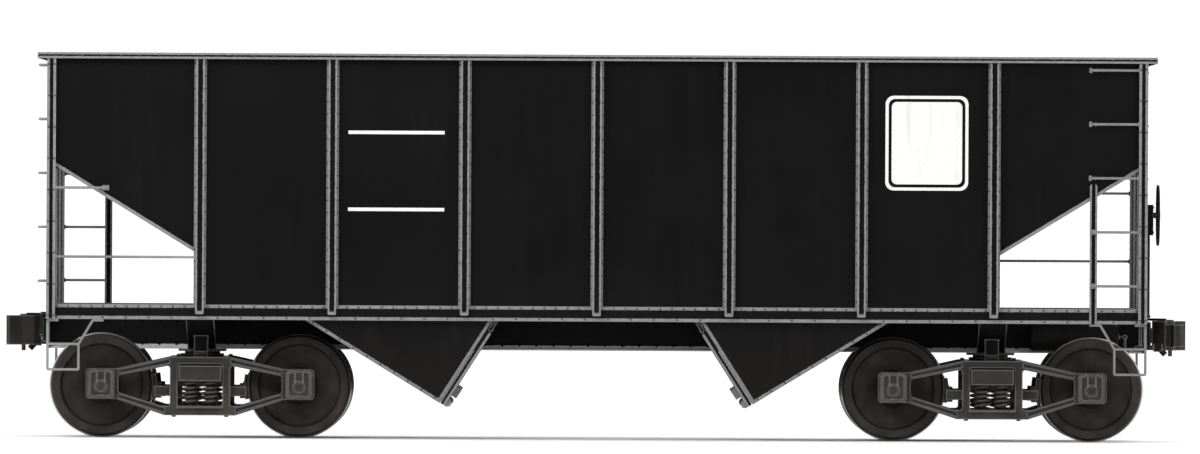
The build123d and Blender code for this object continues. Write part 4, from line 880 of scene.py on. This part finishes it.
def inside_rivets():
    """Low heads on the slope sheets: across them over the bolsters, and up along both sides."""
    places = []
    for below_x in BOLSTER_ROWS:
        x = below_x - SLOPE_SHEET * sin(SLOPE)
        height = over_slope(x, SLOPE_SHEET)
        left, right = (x, -BOLSTER_REACH, height), (x, BOLSTER_REACH, height)
        places += row(left, right, BOLSTER_PITCH, OFF_SLOPE)
    low, high = [(x, BORDER_Y, over_slope(x, SLOPE_SHEET)) for x in SLOPE_ROW_ENDS]
    places += on_both_sides(row(low, high, SLOPE_PITCH / cos(SLOPE), OFF_SLOPE))
    return at_both_ends(places)


def load_box_rivets():
    rivets("rivets_posts", post_rivets(), POST_RIVET)
    rivets("rivets_sills", sill_rivets(), LINE_RIVET)
    rivets("rivets_slopes", slope_seam_rivets(), SHEET_RIVET, look="rivet_paint")
    rivets("rivets_ends", end_rivets(), SHEET_RIVET)
    rivets("rivets_chutes", chute_rivets(), LINE_RIVET, slot="frame_paint")
    rivets("rivets_chords", chord_rivets(), CHORD_RIVET)
    rivets("rivets_inside", inside_rivets(), LOW_RIVET, slot="inner_steel", look="inner_steel")


# Markings
def flat_on_side(outline):
    """A film of paint on the -Y side and its twin on the other, from points (x, height)."""
    shapes = []
    for turn in (1, -1):
        points = [Vector((turn * x, turn * sheet_low.y, z)) for x, z in outline]
        shapes.append(slab(points, -turn * Y * PAINT_FILM))
    return shapes


def ribbon_on_side(outer, inner):
    """A flat closed line between two outlines, on both sides of the wagon."""
    shapes = []
    count = len(outer)
    for turn in (1, -1):
        y = turn * (sheet_low.y - LINE_FILM)
        points = [Vector((turn * x, y, z)) for x, z in outer + inner]
        faces = [[i, (i + 1) % count, count + (i + 1) % count, count + i] for i in range(count)]
        shapes.append((points, faces))
    return shapes


def rounded(inset, steps=8):
    """Points round the blank panel, an inset in from its edge."""
    corner = PLATE_CORNER - inset / 2
    half_x = PLATE_SIZE[0] / 2 - inset - corner
    half_z = PLATE_SIZE[1] / 2 - inset - corner
    points = []
    for quarter, (sx, sz) in enumerate(((1, 1), (-1, 1), (-1, -1), (1, -1))):
        for step in range(steps + 1):
            angle = (quarter + step / steps) * pi / 2
            x = PLATE_MIDDLE[0] + sx * half_x + corner * cos(angle)
            points.append((x, PLATE_MIDDLE[1] + sz * half_z + corner * sin(angle)))
    return points


def markings():
    """Two bars, and a blank panel with a plain line round it."""
    bars = []
    left, right = BAR_X
    for height in BAR_HEIGHTS:
        low, high = height - BAR_THICK / 2, height + BAR_THICK / 2
        bars += flat_on_side([(left, low), (right, low), (right, high), (left, high)])
    make("marking_bars", bars, "marking_paint")
    make("blank_panel", flat_on_side(rounded(0.0)), "marking_paint")
    line = ribbon_on_side(rounded(PLATE_BORDER), rounded(2 * PLATE_BORDER))
    make("blank_panel_line", line, "body_paint")


# Trucks
def coil(middle_x, middle_y, low, high, size):
    """A helical spring with closed ends."""
    radius, bar_radius, turns = size
    steps = int(turns * COIL_STEPS)
    path = []
    for i in range(steps + 1):
        share = i / steps
        turns_from_end = min(share, 1 - share) * turns
        climb = share
        if turns_from_end < FLAT_TURNS:
            lag = (FLAT_TURNS - turns_from_end) * FLAT_LAG / turns
            climb = min(max(climb + (lag if share > 0.5 else -lag), 0.0), 1.0)
        angle = tau * turns * share
        height = low + bar_radius + (high - low - 2 * bar_radius) * climb
        path.append(Vector((middle_x + radius * cos(angle), middle_y + radius * sin(angle), height)))
    return tube(path, bar_radius, COIL_SIDES)


def truck_springs():
    """Helices in the place of the solids' grooved cores."""
    for end, x in TRUCKS:
        low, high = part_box("springs_" + end)
        shapes = []
        for spring_x in (x - SPRING_X, x + SPRING_X):
            for y in (-SPRING_Y, SPRING_Y):
                for size in (OUTER_COIL, INNER_COIL):
                    shapes.append(coil(spring_x, y, low.z, high.z, size))
        piece = make("coil_springs_" + end, shapes, "spring_steel", "truck_" + end, smooth=True)
        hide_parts("springs_" + end)


def truck_bolts():
    """Heads and nuts of the bolts through the columns beside the springs."""
    for end, x in TRUCKS:
        shapes = []
        for side in (-1, 1):
            for column_x in (x - COLUMN_X, x + COLUMN_X):
                for y in (SPRING_Y - COLUMN_BOLT, SPRING_Y + COLUMN_BOLT):
                    shapes.append(bolt(Vector((column_x, side * y, COLUMN_BOLT_TOP)), Z, BIG_BOLT))
                    shapes.append(bolt(Vector((column_x, side * y, COLUMN_BOLT_FOOT)), -Z, BIG_BOLT))
        make("truck_bolts_" + end, shapes, "cast_steel", "truck_" + end)


def journal_lids():
    """On each journal box: the lid's pressed boss, two ribs, the lip to lift it by and the hinge's ears."""
    for end, x in TRUCKS:
        shapes = []
        for axle in (-WHEEL_BASE / 2, WHEEL_BASE / 2):
            for side in (-1, 1):
                face = Vector((x + axle, side * LID_FACE, AXLE_HEIGHT))
                shapes.append(turned(face - Z * BOSS_DROP, side * Y, BOSS, BOSS_SIDES))
                for (along, out, up), size in LID_BARS:
                    shapes.append(block(face + Vector((along, side * out, up)), size))
                for along in LID_EARS:
                    ear = Vector((face.x + along, side * LID_EAR[0], LID_EAR[1]))
                    shapes.append(bar(ear, X, LID_EAR_SIZE, sides=16))
        make("journal_lids_" + end, shapes, "cast_steel", "truck_" + end)


def truck_rigging():
    """Brake levers on the beams' struts, their pins, and the rod that joins them under the bolster."""
    for end, x in TRUCKS:
        shapes = []
        for lever_x in (x - STRUT_X, x + STRUT_X):
            shapes.append(block(Vector((lever_x, 0, LEVER_MIDDLE)), LEVER_SIZE))
            for height in LEVER_PINS:
                shapes.append(bar(Vector((lever_x, 0, height)), X, LEVER_PIN))
        shapes.append(bar(Vector((x, 0, ROD_HEIGHT)), X, (STRUT_X, ROD_RADIUS)))
        make("brake_levers_" + end, shapes, "cast_steel", "truck_" + end)


# Couplers, sills and brake gear
def coupler_pins():
    """Head and tail of the pin that each knuckle turns on."""
    shapes = []
    for turn in (-1, 1):
        top = Vector((turn * KNUCKLE_PIN[0], turn * KNUCKLE_PIN[1], COUPLER_TOP))
        shapes.append(pin(top, PIN_HEAD, sides=20))
        shapes.append(pin(top, PIN_TAIL, sides=14))
    make("knuckle_pins", shapes, "cast_steel")


def striker_rivets():
    """Along the top and the bottom of each striker's plate, beside the coupler."""
    low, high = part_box("strikers")
    face = high.x - STRIKER_PLATE
    places = []
    for y in STRIKER_ROWS:
        for height in (low.z + STRIKER_EDGE, high.z - STRIKER_EDGE):
            places.append((Vector((face, y, height)), X))
    rivets("striker_rivets", at_both_ends(places), FRAME_RIVET, slot="frame_paint", look="rivet_paint")


def frame_rivets():
    """Along the top and the bottom of the centre sill's webs."""
    places = []
    for height in WEB_ROWS:
        places += row((-WEB_REACH, -WEB_Y, height), (WEB_REACH, -WEB_Y, height), WEB_PITCH, -Y)
    rivets("rivets_frame", on_both_sides(places), FRAME_RIVET, slot="frame_paint", look="rivet_paint")


def air_gear():
    """The pipe between the air drums, under the centre sill, and the bolts of the cylinder's head."""
    reservoir_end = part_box("air_reservoir")[1].x
    cylinder_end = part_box("brake_cylinder")[1].x
    turn_x = reservoir_end + PIPE_PAST_DRUM
    under = centre_low.z - PIPE_UNDER_SILL
    stops = (
        (reservoir_end - PIPE_INSET[0], -GEAR_Y, GEAR_HEIGHT),
        (turn_x, -GEAR_Y, GEAR_HEIGHT),
        (turn_x, -GEAR_Y, under),
        (turn_x, GEAR_Y, under),
        (turn_x, GEAR_Y, GEAR_HEIGHT),
        (cylinder_end - PIPE_INSET[1], GEAR_Y, GEAR_HEIGHT),
    )
    path = [Vector(stop) for stop in stops]
    shapes = [tube(path, PIPE_RADIUS)]
    for elbow in path[1:-1]:
        shapes.append(bar(elbow, Y, ELBOW))
    length, radius = UNION
    for x, y in ((reservoir_end + UNION_START[0], -GEAR_Y), (cylinder_end + UNION_START[1], GEAR_Y)):
        union = Vector((x, y, GEAR_HEIGHT))
        shapes.append(tube([union, union + X * length], radius, HEX))
    make("air_pipe", shapes, "frame_paint")
    head = Vector((cylinder_end, GEAR_Y, GEAR_HEIGHT))
    circle = ring(head, X, HEAD_BOLT_CIRCLE, HEAD_BOLTS, HEAD_BOLT_TURN)
    heads = [bolt(point, X, SMALL_BOLT) for point in circle]
    make("cylinder_bolts", heads, "frame_paint", look="rivet_paint")


def lever_pin():
    """The pin that holds the brake lever to its push rod, with a washer."""
    eye = Vector((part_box("brake_cylinder")[0].x + PUSH_ROD_EYE, GEAR_Y, GEAR_HEIGHT))
    shapes = [bar(eye, Z, PUSH_ROD_PIN), pin(eye, PUSH_ROD_WASHER)]
    make("brake_lever_pin", shapes, "frame_paint", look="end_iron_paint")


def door_rivets():
    """Rows beside the ribs on the outer face of each hopper door."""
    foot = Vector((RIDGE_FOOT[0], 0, RIDGE_FOOT[1]))
    down = Vector((sin(DOOR_LEAN), 0, -cos(DOOR_LEAN)))
    out = Vector((-cos(DOOR_LEAN), 0, -sin(DOOR_LEAN)))
    places = []
    for rib in DOOR_RIBS:
        for y in (rib - DOOR_ROW, rib + DOOR_ROW):
            places += [(foot + down * drop + out * DOOR_PLATE + Y * y, out) for drop in DOOR_DROPS]
    for end, turn in (("a", -1), ("b", 1)):
        turn_x = Vector((turn, 1, 1))
        own = on_both_sides([(point * turn_x, normal * turn_x) for point, normal in places])
        rivets("door_rivets_" + end, own, SHEET_RIVET, "door_paint", "rivet_paint", "doors_" + end)


def brake_case_bolts():
    """Round the cover of the hand brake's gear case."""
    middle = Vector((corner_high.x + CASE_DEPTH, -END_POST_Y, BRAKE_WHEEL_HEIGHT))
    heads = [bolt(middle + Vector((0, y, z)), X, SMALL_BOLT) for y, z in CASE_BOLTS]
    make("brake_case_bolts", heads, "frame_paint", look="rivet_paint")


# Floor, light and camera
def lay_floor():
    """A plain disc, just under the wheels."""
    points = ring(Z * -FLOOR_DROP, Z, FLOOR_RADIUS, FLOOR_SIDES)
    mesh = bpy.data.meshes.new("floor")
    mesh.from_pydata(points, [], [list(range(FLOOR_SIDES))])
    mesh.materials.append(floor_paint("floor_paint"))
    floor = bpy.data.objects.new("floor", mesh)
    bpy.context.scene.collection.objects.link(floor)


def light():
    """An even white studio, and four large soft lamps that face the wagon."""
    world = bpy.data.worlds.new("studio")
    world.use_nodes = True
    background = world.node_tree.nodes["Background"]
    background.inputs["Color"].default_value = (1.0, 1.0, 1.0, 1.0)
    background.inputs["Strength"].default_value = 1.12
    bpy.context.scene.world = world
    bpy.context.scene.view_settings.view_transform = "Standard"

    aim = Vector((0, 0, 1.4))
    lamps = (  # name, place, power, width, height
        ("key", (-7.0, -13.0, 9.5), 1300.0, 9.0, 5.0),
        ("fill", (9.0, -12.0, 4.0), 250.0, 8.0, 6.0),
        ("back", (5.0, 13.0, 10.0), 900.0, 10.0, 5.0),
        ("top", (0.0, 0.0, 13.0), 400.0, 12.0, 6.0),
    )
    for name, place, power, width, height in lamps:
        lamp = bpy.data.lights.new(name, "AREA")
        lamp.shape = "RECTANGLE"
        lamp.size = width
        lamp.size_y = height
        lamp.energy = power
        holder = bpy.data.objects.new(name, lamp)
        holder.location = place
        holder.rotation_euler = (aim - Vector(place)).to_track_quat("-Z", "Y").to_euler()
        bpy.context.scene.collection.objects.link(holder)


def camera():
    """Square on to the -Y side, from so far that the lines stay parallel."""
    lens = bpy.data.cameras.new("camera")
    lens.lens = LENS
    lens.sensor_width = SENSOR
    lens.clip_end = FAR_CLIP
    away = LENS * IMAGE_WIDTH * METRES_PER_PIXEL / SENSOR
    holder = bpy.data.objects.new("camera", lens)
    holder.location = (AIM_X, chord_low.y - away, AIM_HEIGHT)
    holder.rotation_euler = (radians(90), ROLL, 0)
    bpy.context.scene.collection.objects.link(holder)
    bpy.context.scene.camera = holder


camera()
lay_floor()
light()
dress_solids()
load_box_rivets()
markings()
truck_springs()
truck_bolts()
journal_lids()
truck_rigging()
coupler_pins()
striker_rivets()
frame_rivets()
air_gear()
lever_pin()
door_rivets()
brake_case_bolts()
